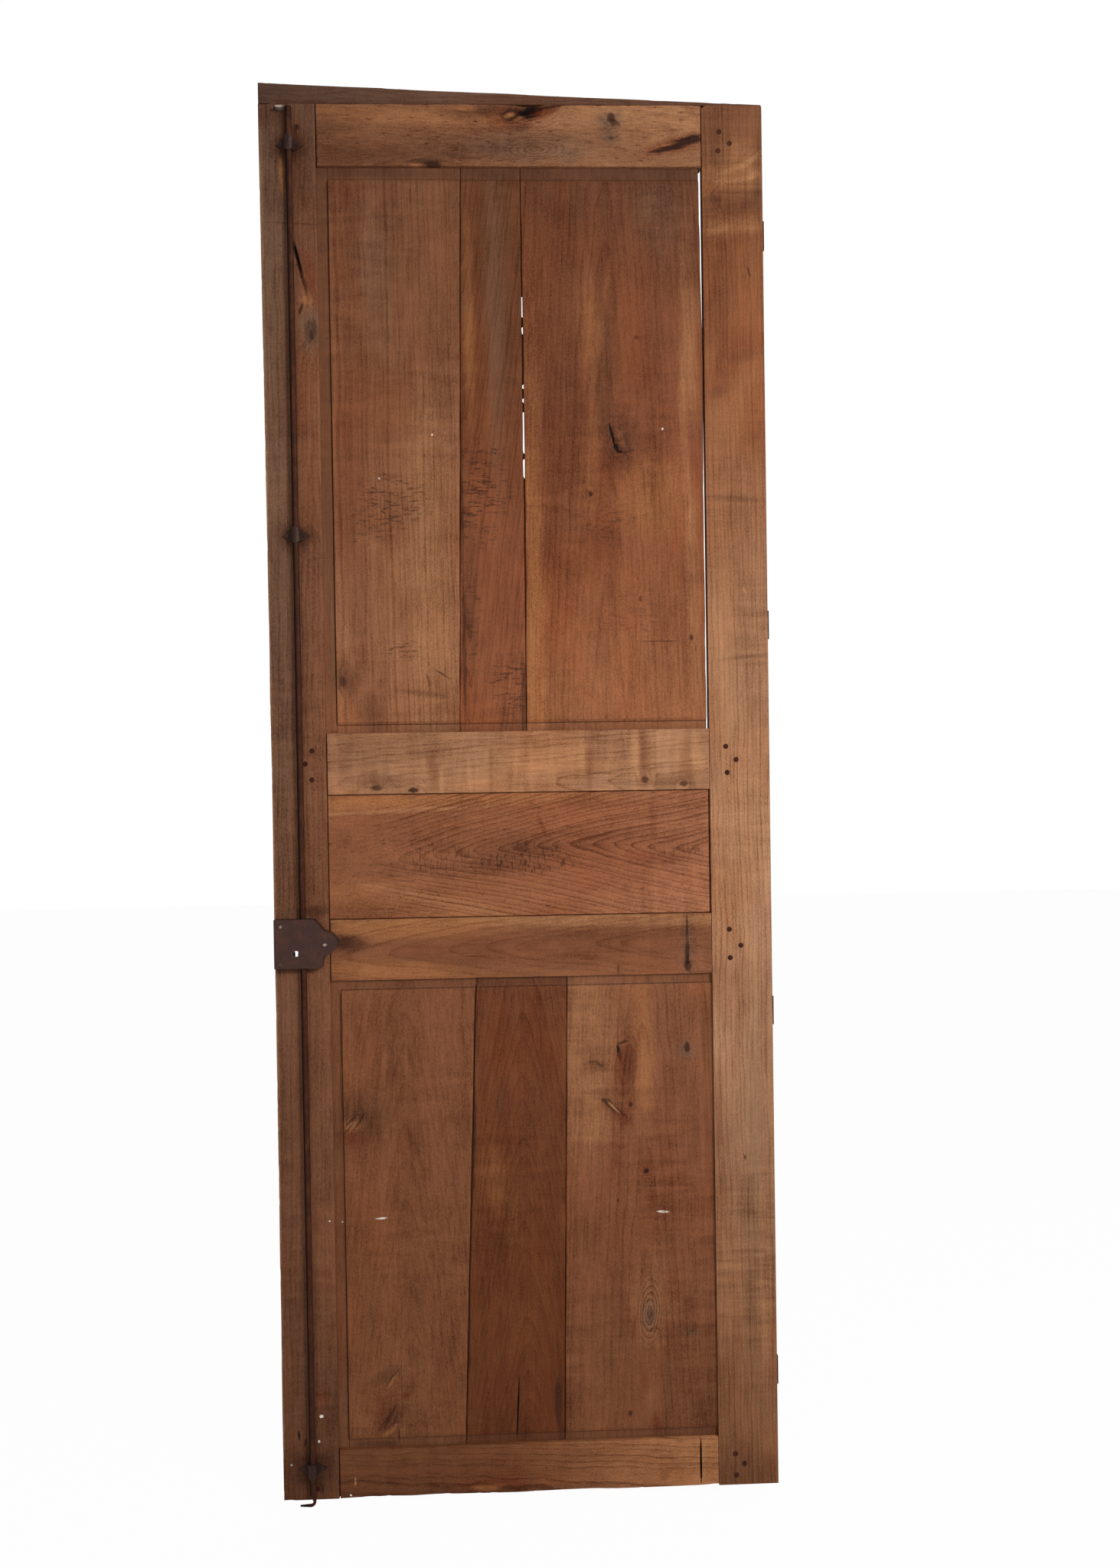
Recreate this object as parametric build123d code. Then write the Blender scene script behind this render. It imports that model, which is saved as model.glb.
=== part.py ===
from build123d import *
import os
from math import radians, sin

# Old panelled cherry door, seen from its inner face, with its turning lock rod and four butt hinges.
# Millimetres. X runs along the width towards the hinges, Y from the inner face to the outer face, Z up.
# X = 0 is the face of the jamb, Y = 0 the middle of the thickness, Z = 0 the middle of the lowest hinge.

# Leaf
leaf_width = 734.0
leaf_height = 2040.0
leaf_thickness = 28.0
lock_stile_width = 82.0
hinge_stile_width = 89.0
top_rail_height = 89.5
upper_rail_height = 89.7
lower_rail_height = 89.7
bottom_rail_height = 72.5
middle_panel_height = 183.0
lower_panel_height = 692.5
shoulder_gap = 1.5
arris = 0.8
stile_top_round = 9.0
stile_corner_round = 3.0

# Joinery of the frame
groove_width = 8.0
groove_depth = 10.0
groove_setback = 6.0
lock_tenon_length = 40.0
hinge_tenon_length = 52.0
top_haunch = 22.0
foot_haunch = 8.0
tenon_clearance = 0.15
mortise_end_room = 0.8
peg_radius = 3.6
peg_clearance = 0.1
peg_proud = 0.4
peg_sides = 8
cove_width = 9.0
cove_land = 0.3
# Each peg: how far it stands from the shoulder, of the stile's width, and above the rail's middle line
peg_place_shares = {
    ("lock", "top"): ((0.31, 0.12), (0.38, -0.11), (0.40, -0.21)),
    ("lock", "upper"): ((0.25, 0.22), (0.37, 0.01), (0.26, -0.25)),
    ("lock", "lower"): ((0.25, 0.22), (0.37, 0.0), (0.25, -0.19)),
    ("lock", "bottom"): ((0.40, 0.14), (0.39, -0.28)),
    ("hinge", "top"): ((0.29, 0.07), (0.46, -0.12), (0.27, -0.24)),
    ("hinge", "upper"): ((0.27, 0.20), (0.44, -0.02), (0.29, -0.23)),
    ("hinge", "lower"): ((0.29, 0.22), (0.48, -0.05), (0.30, -0.25)),
    ("hinge", "bottom"): ((0.28, 0.14), (0.43, -0.07), (0.29, -0.30)),
}

# Tapered strip nailed along the top edge
wedge_left_height = 30.5
wedge_right_height = 1.6
wedge_end_setback = 0.8
wedge_face_setback = 0.5
wedge_nail_length = 30.0
wedge_nail_half_width = 1.4
wedge_nail_head_radius = 2.8
wedge_nail_head_thickness = 1.2
wedge_nail_shares = (0.03, 0.41, 0.71)

# Bark pocket in the upper edge of the top rail
bark_pocket_length = 58.0
bark_pocket_radius = 6.5
bark_pocket_share = 0.53
bark_pocket_drop = 9.0

# Panels
tongue_reach = 9.0
tongue_clearance = 0.2
field_setback = 2.6
field_bevel_width = 34.0
field_bevel_rise = 5.5
field_sight_gap = 0.6
upper_margin_side = 16.5
upper_margin_top = 18.0
upper_margin_bottom = 12.5
upper_margin_hinge = 19.0
lower_margin_side = 15.5
lower_margin_top = 14.5
lower_margin_bottom = 13.0
lower_margin_hinge = 18.0
middle_panel_setback = 0.8
middle_panel_gap = 0.8
middle_panel_hinge_gap = 2.4
board_gap = 0.9
open_joint_gap = 0.6
open_joint_belly = 1.6
open_joint_belly_share = 0.55
shrinkage_gap_top = 4.6
shrinkage_gap_bottom = 3.2
board_tongue_thickness = 4.0
board_tongue_length = 5.0
board_tongue_clearance = 0.2
# Joints between boards, of the panel's width, first at its foot and then at its head
upper_joint_shares = ((0.347, 0.371), (0.521, 0.526))
lower_joint_shares = ((0.333, 0.378), (0.593, 0.617))

# Turning lock rod with a hook at each end
rod_radius = 4.5
rod_from_edge = 45.0
rod_standoff = 6.0
rod_top_drop = 8.0
top_hook_length = 20.5
top_hook_thickness = 3.0
top_hook_width = 8.0
foot_hook_drop = 4.0
foot_hook_radius = 2.2
foot_hook_taper = 10.0
foot_hook_bend = 6.0
foot_hook_length = 15.0
foot_hook_tip_radius = 1.3
rod_turn_half = 45.0
lug_reach = 8.0
lug_tip_radius = 2.0
lug_stem_width = 2.6
lug_height = 6.0

# Guides that hold the rod to the stile
guide_width = 40.0
guide_height = 25.0
guide_plate = 2.0
guide_wall = 2.2
guide_clearance = 0.3
guide_top_drop = 61.0
guide_middle_height = 1415.0
guide_bottom_height = 47.5
guide_nail_spread = 12.5
nail_half_width = 1.5
nail_head_sides = 8
nail_head_radius = 2.9
nail_head_thickness = 1.1
nail_head_taper = 30.0
nail_clearance = 0.1
nail_grip = 16.0

# Lock
lock_from_edge = 4.5
lock_height = 71.0
lock_rise = 22.0
lock_depth = 16.0
lock_wall = 2.0
lock_foot_width = 68.0
lock_head_width = 58.0
ear_root = 76.5
ear_half_height = 18.0
ear_cheek = 90.5
ear_cheek_rise = 11.0
ear_tip = 97.0
ear_rise = 36.0
lock_nail_inset = 9.5
lock_foot_nail_rise = 6.5
lock_nail_head_radius = 4.0
rivet_from_edge = 69.5
rivet_drop = 15.7
rivet_head_radius = 2.4
ear_nail_from_edge = 77.5
ear_nail_drop = 2.6
key_from_edge = 36.5
key_rise = 21.6
key_hole_radius = 4.2
key_slot_width = 4.0
key_slot_drop = 17.0
rod_notch_clearance = 0.4

# Bolt of the lock, thrown by the rod
bolt_rise = 36.0
bolt_height = 12.0
bolt_head_depth = 9.4
bolt_head_lift = 0.6
bolt_head_length = 26.5
bolt_set_in = 0.4
bolt_tail_thickness = 3.5
bolt_tail_overlap = 6.0
bolt_tail_wall = 3.0
bolt_slot_width = 5.6
bolt_slot_play = 0.5
bolt_clearance = 0.5
talon_width = 4.0
talon_drop = 8.0
talon_depth = 5.0
recess_clearance = 0.7
recess_floor_room = 0.6
spring_thickness = 0.8
spring_width = 6.0
spring_length = 26.0
spring_bow = 5.0
spring_clearance = 0.4

# Hinges
bottom_hinge_rise = 167.0
top_hinge_drop = 187.0
# Middle of each hinge, of the way from the lowest one to the highest
hinge_place_shares = {"top": 1.0, "upper": 0.66, "lower": 0.32, "bottom": 0.0}
hinge_height = 42.0
hinge_leaf_thickness = 2.5
hinge_leaf_width = 22.0
hinge_leaf_gap = 0.3
hinge_leaf_clearance = 0.1
barrel_radius = 4.2
barrel_clearance = 0.4
knuckle_gap = 0.3
knuckle_share = 0.36
hinge_pin_radius = 2.2
pin_seat_clearance = 0.02
pin_running_clearance = 0.06
pin_head_radius = 3.2
pin_head_height = 1.4
hinge_screw_radius = 1.7
hinge_screw_head_radius = 3.4
hinge_screw_head_depth = 1.7
hinge_screw_length = 22.0
hinge_screw_spread = 24.0
hinge_screw_from_outer_face = 11.0
hinge_screw_clearance = 0.1

# Every cut runs this far past the face that it opens
overrun = 2.0

# Places that follow from the sizes
inner_face = -leaf_thickness / 2
outer_face = leaf_thickness / 2
leaf_right = -(hinge_leaf_thickness + hinge_leaf_gap)
leaf_left = leaf_right - leaf_width
leaf_bottom = -bottom_hinge_rise
leaf_top = leaf_bottom + leaf_height
opening_left = leaf_left + lock_stile_width
opening_right = leaf_right - hinge_stile_width
opening_width = opening_right - opening_left
groove_back = inner_face + groove_setback
groove_front = groove_back + groove_width

lower_panel_foot = leaf_bottom + bottom_rail_height
lower_panel_head = lower_panel_foot + lower_panel_height
middle_panel_foot = lower_panel_head + lower_rail_height
middle_panel_head = middle_panel_foot + middle_panel_height
upper_panel_foot = middle_panel_head + upper_rail_height
upper_panel_head = leaf_top - top_rail_height

rails = {
    "top": (upper_panel_head, leaf_top),
    "upper": (middle_panel_head, upper_panel_foot),
    "lower": (lower_panel_head, middle_panel_foot),
    "bottom": (leaf_bottom, lower_panel_foot),
}
openings = {
    "upper": (upper_panel_foot, upper_panel_head),
    "middle": (middle_panel_foot, middle_panel_head),
    "lower": (lower_panel_foot, lower_panel_head),
}

rod_x = leaf_left + rod_from_edge
rod_y = inner_face - rod_standoff
key_x = leaf_left + key_from_edge
lock_foot = lower_panel_head + lock_rise
key_z = lock_foot + key_rise
bolt_foot = lock_foot + bolt_rise
bolt_middle = bolt_foot + bolt_height / 2
hinge_axis_x = -hinge_leaf_thickness - hinge_leaf_gap / 2
hinge_axis_y = outer_face + barrel_radius + barrel_clearance


def block(x0, x1, y0, y1, z0, z1):
    """A box between two opposite corners."""
    box = Box(x1 - x0, y1 - y0, z1 - z0)
    return Pos((x0 + x1) / 2, (y0 + y1) / 2, (z0 + z1) / 2) * box


def slab(face, y0, y1):
    """A flat outline drawn in X and Z, thickened from y0 to y1."""
    return Pos(0, y1, 0) * extrude(Plane.XZ * face, y1 - y0)


def rod_along_y(x, z, radius, y0, y1):
    """A round bar that runs through the thickness of the door."""
    return Pos(x, (y0 + y1) / 2, z) * Rot(90, 0, 0) * Cylinder(radius, y1 - y0)


def rod_along_z(x, y, radius, z0, z1):
    """A round upright bar."""
    return Pos(x, y, (z0 + z1) / 2) * Cylinder(radius, z1 - z0)


def outline(points):
    """A closed face through the given corners."""
    return make_face(Polyline(*points, close=True))


# Pegs

def whittled(x, z, radius):
    """Section of a peg cut by hand with a knife, its flats at the given radius."""
    return Pos(x, z) * RegularPolygon(radius, peg_sides, major_radius=False)


def peg_places(side, rail):
    """Centres of the pegs that lock one tenon."""
    z0, z1 = rails[rail]
    places = []
    for reach_share, rise_share in peg_place_shares[side, rail]:
        if side == "lock":
            x = opening_left - lock_stile_width * reach_share
        else:
            x = opening_right + hinge_stile_width * reach_share
        places.append((x, (z0 + z1) / 2 + (z1 - z0) * rise_share))
    return places


def peg(x, z, proud):
    """A whittled, many-sided peg that stands proud of both faces by the given amount."""
    return slab(whittled(x, z, peg_radius), inner_face - proud, outer_face + proud)


def rail_pegs(name):
    """Pegs of one rail: pared flush at the lock stile, under its ironwork, and proud at the hinge stile."""
    flush = [peg(x, z, 0) for x, z in peg_places("lock", name)]
    return flush + [peg(x, z, peg_proud) for x, z in peg_places("hinge", name)]


def peg_hole(x, z):
    return slab(whittled(x, z, peg_radius + peg_clearance), inner_face - overrun, outer_face + overrun)


# Tenons and mortises

def tenon_span(rail):
    """Lowest and highest point of a rail's tenons, clear of the grooves and of the stile's ends."""
    z0, z1 = rails[rail]
    foot = z0 + (foot_haunch if rail == "bottom" else groove_depth)
    head = z1 - (top_haunch if rail == "top" else groove_depth)
    return foot, head


def mortise(side, rail):
    z0, z1 = tenon_span(rail)
    if side == "lock":
        x0 = opening_left - lock_tenon_length - mortise_end_room
        x1 = opening_left + overrun
    else:
        x0 = opening_right - overrun
        x1 = opening_right + hinge_tenon_length + mortise_end_room
    return block(x0, x1, groove_back, groove_front, z0 - tenon_clearance, z1 + tenon_clearance)


def cove_tool(name):
    """Cuts the hollow moulding round one panel opening, on the outer face."""
    z0, z1 = openings[name]
    tool = block(
        opening_left - cove_width, opening_right + cove_width,
        outer_face - cove_width, outer_face + overrun,
        z0 - cove_width, z1 + cove_width,
    )
    return fillet(tool.faces().sort_by(Axis.Y)[0].edges(), cove_width - cove_land)


coves = [cove_tool(name) for name in openings]


def stile(x0, x1, side):
    """An upright of the frame with its grooves, mortises, peg holes and moulding."""
    body = block(x0, x1, inner_face, outer_face, leaf_bottom, leaf_top)
    outer_x = x0 if side == "lock" else x1
    inner_x = x1 if side == "lock" else x0
    outer_edges = [e for e in body.edges().filter_by(Axis.Z) if abs(e.center().X - outer_x) < arris]
    body = chamfer(outer_edges, arris)
    if side == "hinge":
        tops = body.edges().filter_by(Axis.Y).group_by(Axis.Z)[-1].sort_by(Axis.X)
        body = fillet(tops[0], stile_top_round)
        tops = body.edges().filter_by(Axis.Y).group_by(Axis.Z)[-1].sort_by(Axis.X)
        body = fillet(tops[-1], stile_corner_round)
    groove_x = sorted((inner_x, inner_x + (groove_depth if side == "hinge" else -groove_depth)))
    for z0, z1 in openings.values():
        body -= block(*groove_x, groove_back, groove_front, z0 - groove_depth, z1 + groove_depth)
    for rail in rails:
        body -= mortise(side, rail)
        for x, z in peg_places(side, rail):
            body -= peg_hole(x, z)
    for cove in coves:
        body -= cove
    return body


def rail(name):
    """A cross member with a tenon at each end and grooves along the edges that hold panels."""
    z0, z1 = rails[name]
    body = block(opening_left + shoulder_gap, opening_right - shoulder_gap, inner_face, outer_face, z0, z1)
    foot, head = tenon_span(name)
    body += block(
        opening_left - lock_tenon_length, opening_right + hinge_tenon_length,
        groove_back + tenon_clearance, groove_front - tenon_clearance, foot, head,
    )
    if name != "bottom":
        body -= block(opening_left, opening_right, groove_back, groove_front, z0 - overrun, z0 + groove_depth)
    if name != "top":
        body -= block(opening_left, opening_right, groove_back, groove_front, z1 - groove_depth, z1 + overrun)
    for side in ("lock", "hinge"):
        for x, z in peg_places(side, name):
            body -= peg_hole(x, z)
    for cove in coves:
        body -= cove
    return body


# Panels

tongue_back = groove_back + tongue_clearance
tongue_front = groove_front - tongue_clearance
board_tongue_middle = (tongue_back + tongue_front) / 2


def edge_x(ends, span, z):
    """Where a slanting board edge, given at the panel's foot and head, stands at height z."""
    return ends[0] + (ends[1] - ends[0]) * (z - span[0]) / (span[1] - span[0])


def edge_points(edge, span, z0, z1):
    """Points of a board's edge from z0 up to z1, with the belly of an open joint where it has one."""
    ends, belly = edge
    points = [(edge_x(ends, span, z0), z0)]
    if belly:
        z = span[0] + (span[1] - span[0]) * open_joint_belly_share
        points.append((edge_x(ends, span, z) + belly, z))
    points.append((edge_x(ends, span, z1), z1))
    return points


def shifted(edge, amount):
    ends, belly = edge
    return (ends[0] + amount, ends[1] + amount), belly


def board_face(left, right, span, z0, z1):
    """Outline of a board between its two edges, from z0 to z1."""
    return outline(edge_points(left, span, z0, z1) + edge_points(right, span, z0, z1)[::-1])


def board(span, left, right, sides, margins, setback):
    """A board of a panel: tongue all round its frame edges, raised field on both faces.

    sides names what each upright edge meets: the frame, a tongued or grooved joint, or nothing.
    margins are the widths of the sunk border at the inner face: lock side, hinge side, foot and head.
    """
    z0, z1 = span
    lock_margin, hinge_margin, foot_margin, head_margin = margins
    framed_left = sides[0] == "frame"
    framed_right = sides[1] == "frame"
    body = slab(
        board_face(
            shifted(left, -tongue_reach if framed_left else 0),
            shifted(right, tongue_reach if framed_right else 0),
            span, z0 - tongue_reach, z1 + tongue_reach,
        ),
        tongue_back, tongue_front,
    )
    body += slab(
        board_face(
            shifted(left, lock_margin), shifted(right, -hinge_margin), span,
            z0 + foot_margin, z1 - head_margin,
        ),
        inner_face + setback, tongue_back + tongue_clearance,
    )
    sight_left = shifted(left, field_sight_gap if framed_left else 0)
    sight_right = shifted(right, -field_sight_gap if framed_right else 0)
    crest_left = shifted(left, field_bevel_width if framed_left else 0)
    crest_right = shifted(right, -field_bevel_width if framed_right else 0)
    low = board_face(sight_left, sight_right, span, z0 + field_sight_gap, z1 - field_sight_gap)
    high = board_face(crest_left, crest_right, span, z0 + field_bevel_width, z1 - field_bevel_width)
    body += loft([
        Pos(0, tongue_front, 0) * (Plane.XZ * low),
        Pos(0, tongue_front + field_bevel_rise, 0) * (Plane.XZ * high),
    ])
    if sides[1] == "tongue":
        strip = board_face(right, shifted(right, board_tongue_length), span, z0, z1)
        body += slab(
            strip,
            board_tongue_middle - board_tongue_thickness / 2,
            board_tongue_middle + board_tongue_thickness / 2,
        )
    if sides[0] == "groove":
        reach = board_tongue_length + board_tongue_clearance
        strip = board_face(
            shifted(left, -overrun), shifted(left, reach), span,
            z0 - tongue_reach - overrun, z1 + tongue_reach + overrun,
        )
        half = board_tongue_thickness / 2 + board_tongue_clearance
        body -= slab(strip, board_tongue_middle - half, board_tongue_middle + half)
    return body


def joint_line(shares):
    return tuple(opening_left + opening_width * share for share in shares)


def upper_boards():
    span = openings["upper"]
    frame_left = ((opening_left, opening_left), 0)
    first = (joint_line(upper_joint_shares[0]), 0)
    second = (joint_line(upper_joint_shares[1]), 0)
    free_edge = ((opening_right - shrinkage_gap_bottom, opening_right - shrinkage_gap_top), 0)
    belly_edge = (shifted(second, open_joint_gap / 2)[0], open_joint_belly)
    foot = upper_margin_bottom
    head = upper_margin_top
    side_margins = (upper_margin_side, 0, foot, head)
    yield "upper_panel_board_left", board(
        span, frame_left, shifted(first, -board_gap / 2), ("frame", "tongue"), side_margins, field_setback)
    yield "upper_panel_board_middle", board(
        span, shifted(first, board_gap / 2), shifted(second, -open_joint_gap / 2), ("groove", "free"),
        (0, 0, foot, head), field_setback)
    yield "upper_panel_board_right", board(
        span, belly_edge, free_edge, ("free", "free"), (0, upper_margin_hinge, foot, head), field_setback)


def lower_boards():
    span = openings["lower"]
    frame_left = ((opening_left, opening_left), 0)
    frame_right = ((opening_right, opening_right), 0)
    first = (joint_line(lower_joint_shares[0]), 0)
    second = (joint_line(lower_joint_shares[1]), 0)
    foot = lower_margin_bottom
    head = lower_margin_top
    yield "lower_panel_board_left", board(
        span, frame_left, shifted(first, -board_gap / 2), ("frame", "tongue"),
        (lower_margin_side, 0, foot, head), field_setback)
    yield "lower_panel_board_middle", board(
        span, shifted(first, board_gap / 2), shifted(second, -board_gap / 2), ("groove", "tongue"),
        (0, 0, foot, head), field_setback)
    yield "lower_panel_board_right", board(
        span, shifted(second, board_gap / 2), frame_right, ("groove", "frame"),
        (0, lower_margin_hinge, foot, head), field_setback)


def middle_panel():
    gap = middle_panel_gap
    return board(
        openings["middle"], ((opening_left, opening_left), 0), ((opening_right, opening_right), 0),
        ("frame", "frame"), (gap, middle_panel_hinge_gap, gap, gap), middle_panel_setback)


# Strip along the top

def wedge_height_at(share):
    return wedge_left_height + (wedge_right_height - wedge_left_height) * share


def wedge_nail(share, grow):
    """A nail driven down through the strip, or the hole for it when grow is its clearance."""
    x = leaf_left + leaf_width * share
    top = leaf_top + wedge_height_at(share)
    half = wedge_nail_half_width + grow
    body = block(x - half, x + half, -half, half, leaf_top - wedge_nail_length - grow, top)
    head = Pos(x, 0) * RegularPolygon(wedge_nail_head_radius + grow, nail_head_sides, major_radius=False)
    thickness = wedge_nail_head_thickness + grow
    return body + Pos(0, 0, top - thickness) * extrude(head, thickness + grow)


def top_wedge():
    face = outline([
        (leaf_left + wedge_end_setback, leaf_top),
        (leaf_right, leaf_top),
        (leaf_right, leaf_top + wedge_right_height),
        (leaf_left + wedge_end_setback, leaf_top + wedge_left_height),
    ])
    body = slab(face, inner_face + wedge_face_setback, outer_face - wedge_face_setback)
    for share in wedge_nail_shares:
        body -= wedge_nail(share, nail_clearance)
    return body


def bark_pocket():
    """A spindle along the grain that hollows the knot in the top rail."""
    half = bark_pocket_length / 2
    rim = ThreePointArc((-half, 0), (0, bark_pocket_radius), (half, 0))
    spindle = revolve(make_face([rim, Line((half, 0), (-half, 0))]), Axis.X)
    return Pos(leaf_left + leaf_width * bark_pocket_share, inner_face, leaf_top - bark_pocket_drop) * spindle


# Rod and guides

def nail_head(x, z, seat, radius):
    """A hammered nail head on the seat, towards the inner side."""
    face = Pos(x, z) * RegularPolygon(radius, nail_head_sides, major_radius=False)
    return Pos(0, seat, 0) * extrude(Plane.XZ * face, nail_head_thickness, taper=nail_head_taper)


def nail_shank(x, z, seat, grip, grow):
    """The square shank of a forged nail, or the hole for it when grow is its clearance."""
    half = nail_half_width + grow
    return block(x - half, x + half, seat, seat + grip + grow, z - half, z + half)


def guide_nail(x, z):
    seat = inner_face - guide_plate
    return nail_head(x, z, seat, nail_head_radius) + nail_shank(x, z, seat, nail_grip, 0)


def guide_nail_hole(x, z):
    return nail_shank(x, z, inner_face - guide_plate, nail_grip, nail_clearance)


def lock_rod():
    """The round rod: a thin bent hook at the foot, a flat one at the head, and a lug that throws the bolt."""
    foot_z = leaf_bottom - foot_hook_drop
    bend_z = foot_z + foot_hook_bend
    neck_z = bend_z + foot_hook_taper
    top_z = leaf_top - rod_top_drop
    hook_x = rod_x + rod_radius - foot_hook_radius
    body = rod_along_z(rod_x, rod_y, rod_radius, neck_z, top_z)
    section = Pos(hook_x, rod_y, bend_z) * Circle(foot_hook_radius)
    body += loft([section, Pos(rod_x, rod_y, neck_z) * Circle(rod_radius)])
    bend_axis = Axis((hook_x - foot_hook_bend, rod_y, bend_z), (0, 1, 0))
    body += revolve(section, bend_axis, 90)
    tip_middle = hook_x - foot_hook_bend - foot_hook_length / 2
    tip = Cone(foot_hook_radius, foot_hook_tip_radius, foot_hook_length)
    body += Pos(tip_middle, rod_y, foot_z) * Rot(0, -90, 0) * tip
    half = top_hook_width / 2
    straight_end = rod_x - top_hook_length + half
    blade = make_face([
        Line((straight_end, rod_y - half), (rod_x, rod_y - half)),
        Line((rod_x, rod_y - half), (rod_x, rod_y + half)),
        Line((rod_x, rod_y + half), (straight_end, rod_y + half)),
        ThreePointArc(
            (straight_end, rod_y + half), (straight_end - half, rod_y), (straight_end, rod_y - half)),
    ])
    body += Pos(0, 0, top_z - top_hook_thickness) * extrude(blade, top_hook_thickness)
    stem = Pos(0, lug_reach / 2) * Rectangle(lug_stem_width, lug_reach)
    lug = extrude(stem + Pos(0, lug_reach) * Circle(lug_tip_radius), lug_height)
    return body + Pos(rod_x, rod_y, bolt_middle - lug_height / 2) * Rot(0, 0, -rod_turn_half) * lug


def guide(z):
    """A pointed strap, bowed over the rod and nailed at each end."""
    bore = rod_radius + guide_clearance
    crown = bore + guide_wall
    strap = block(
        rod_x - guide_width / 2, rod_x + guide_width / 2, inner_face - guide_plate, inner_face,
        z - guide_height / 2, z + guide_height / 2,
    )
    strap += rod_along_z(rod_x, rod_y, crown, z - guide_height / 2, z + guide_height / 2)
    strap += block(
        rod_x - crown, rod_x + crown, rod_y, inner_face, z - guide_height / 2, z + guide_height / 2)
    strap -= block(
        rod_x - guide_width, rod_x + guide_width, inner_face, outer_face, z - guide_height, z + guide_height)
    strap -= rod_along_z(rod_x, rod_y, bore, z - guide_height, z + guide_height)
    strap -= block(rod_x - bore, rod_x + bore, rod_y, outer_face, z - guide_height, z + guide_height)
    lozenge = outline([
        (rod_x - guide_width / 2, z), (rod_x, z - guide_height / 2),
        (rod_x + guide_width / 2, z), (rod_x, z + guide_height / 2),
    ])
    strap = strap & slab(lozenge, rod_y - crown - overrun, outer_face)
    for x in guide_nail_xs:
        strap -= guide_nail_hole(x, z)
    return strap


guide_nail_xs = (rod_x - guide_nail_spread, rod_x + guide_nail_spread)
guide_heights = {
    "top": leaf_top - guide_top_drop,
    "middle": leaf_bottom + guide_middle_height,
    "bottom": leaf_bottom + guide_bottom_height,
}
guide_nail_places = [(x, z) for z in guide_heights.values() for x in guide_nail_xs]

# Lock

lock_cover = inner_face - lock_depth
lock_left = leaf_left + lock_from_edge
lock_head = lock_foot + lock_height
ear_z = lock_foot + ear_rise
lock_nail_places = [
    (lock_left + lock_nail_inset, lock_head - lock_nail_inset),
    (lock_left + lock_nail_inset, lock_foot + lock_foot_nail_rise),
    (leaf_left + ear_nail_from_edge, ear_z - ear_nail_drop),
]
lug_offset = lug_reach * sin(radians(rod_turn_half))
bolt_throw = 2 * lug_offset
bolt_tail_back = rod_y + rod_radius + bolt_clearance
slot_x = rod_x + lug_offset
tail_right = slot_x + bolt_slot_width / 2 + bolt_tail_wall
bolt_left = lock_left + bolt_set_in
bolt_head_right = bolt_left + bolt_head_length
bolt_head_front = inner_face - bolt_head_lift
bolt_head_back = bolt_head_front - bolt_head_depth


def lock_outline():
    """The lock's plate: a block towards the edge of the door and an ear away from it with a blunt point."""
    ear_foot = (leaf_left + ear_root, ear_z - ear_half_height)
    ear_head = (leaf_left + ear_root, ear_z + ear_half_height)
    tip = (leaf_left + ear_tip, ear_z)
    foot_right = (lock_left + lock_foot_width, lock_foot)
    head_right = (lock_left + lock_head_width, lock_head)
    return make_face([
        Line((lock_left, lock_head), (lock_left, lock_foot)),
        Line((lock_left, lock_foot), foot_right),
        Line(foot_right, ear_foot),
        ThreePointArc(ear_foot, (leaf_left + ear_cheek, ear_z - ear_cheek_rise), tip),
        ThreePointArc(tip, (leaf_left + ear_cheek, ear_z + ear_cheek_rise), ear_head),
        Line(ear_head, head_right),
        Line(head_right, (lock_left, lock_head)),
    ])


def lock_nail(x, z):
    head = nail_head(x, z, lock_cover, lock_nail_head_radius)
    return head + nail_shank(x, z, lock_cover, lock_depth + nail_grip, 0)


def lock_nail_hole(x, z):
    return nail_shank(x, z, lock_cover, lock_depth + nail_grip, nail_clearance)


def bolt_window(grow):
    return block(
        lock_left - overrun, lock_left + lock_wall + overrun,
        bolt_head_back - grow, bolt_head_front + grow,
        bolt_foot - grow, bolt_foot + bolt_height + grow,
    )


def lock_case():
    """A shallow shell, open towards the wood, with its key hole, bolt mouth and notches for the rod."""
    face = lock_outline()
    body = slab(face, lock_cover, inner_face)
    body -= slab(offset(face, -lock_wall), lock_cover + lock_wall, inner_face + overrun)
    notch = rod_radius + rod_notch_clearance
    for z in (lock_foot, lock_head):
        body -= rod_along_z(rod_x, rod_y, notch, z - lock_wall - overrun, z + lock_wall + overrun)
        body -= block(
            rod_x - notch, rod_x + notch, rod_y, inner_face + overrun,
            z - lock_wall - overrun, z + lock_wall + overrun)
    body -= rod_along_y(key_x, key_z, key_hole_radius, lock_cover - overrun, lock_cover + lock_wall + overrun)
    body -= bolt_window(bolt_clearance)
    for x, z in lock_nail_places:
        body -= lock_nail_hole(x, z)
    return body + nail_head(leaf_left + rivet_from_edge, ear_z - rivet_drop, lock_cover, rivet_head_radius)


def lock_bolt():
    """The sliding bolt: a square head, a slotted tail under the rod for the lug, and a talon for the key."""
    head = block(
        bolt_left, bolt_head_right, bolt_head_back, bolt_head_front, bolt_foot, bolt_foot + bolt_height)
    tail_front = bolt_tail_back + bolt_tail_thickness
    tail = block(
        bolt_head_right - bolt_tail_overlap, tail_right, bolt_tail_back, tail_front,
        bolt_foot, bolt_foot + bolt_height)
    slot_half = lug_height / 2 + bolt_slot_play
    tail -= block(
        slot_x - bolt_slot_width / 2, slot_x + bolt_slot_width / 2,
        bolt_tail_back - overrun, tail_front + overrun, bolt_middle - slot_half, bolt_middle + slot_half)
    talon = block(
        bolt_head_right - talon_width, bolt_head_right, bolt_head_front - talon_depth, bolt_head_front,
        bolt_foot - talon_drop, bolt_foot)
    return head + tail + talon


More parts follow.
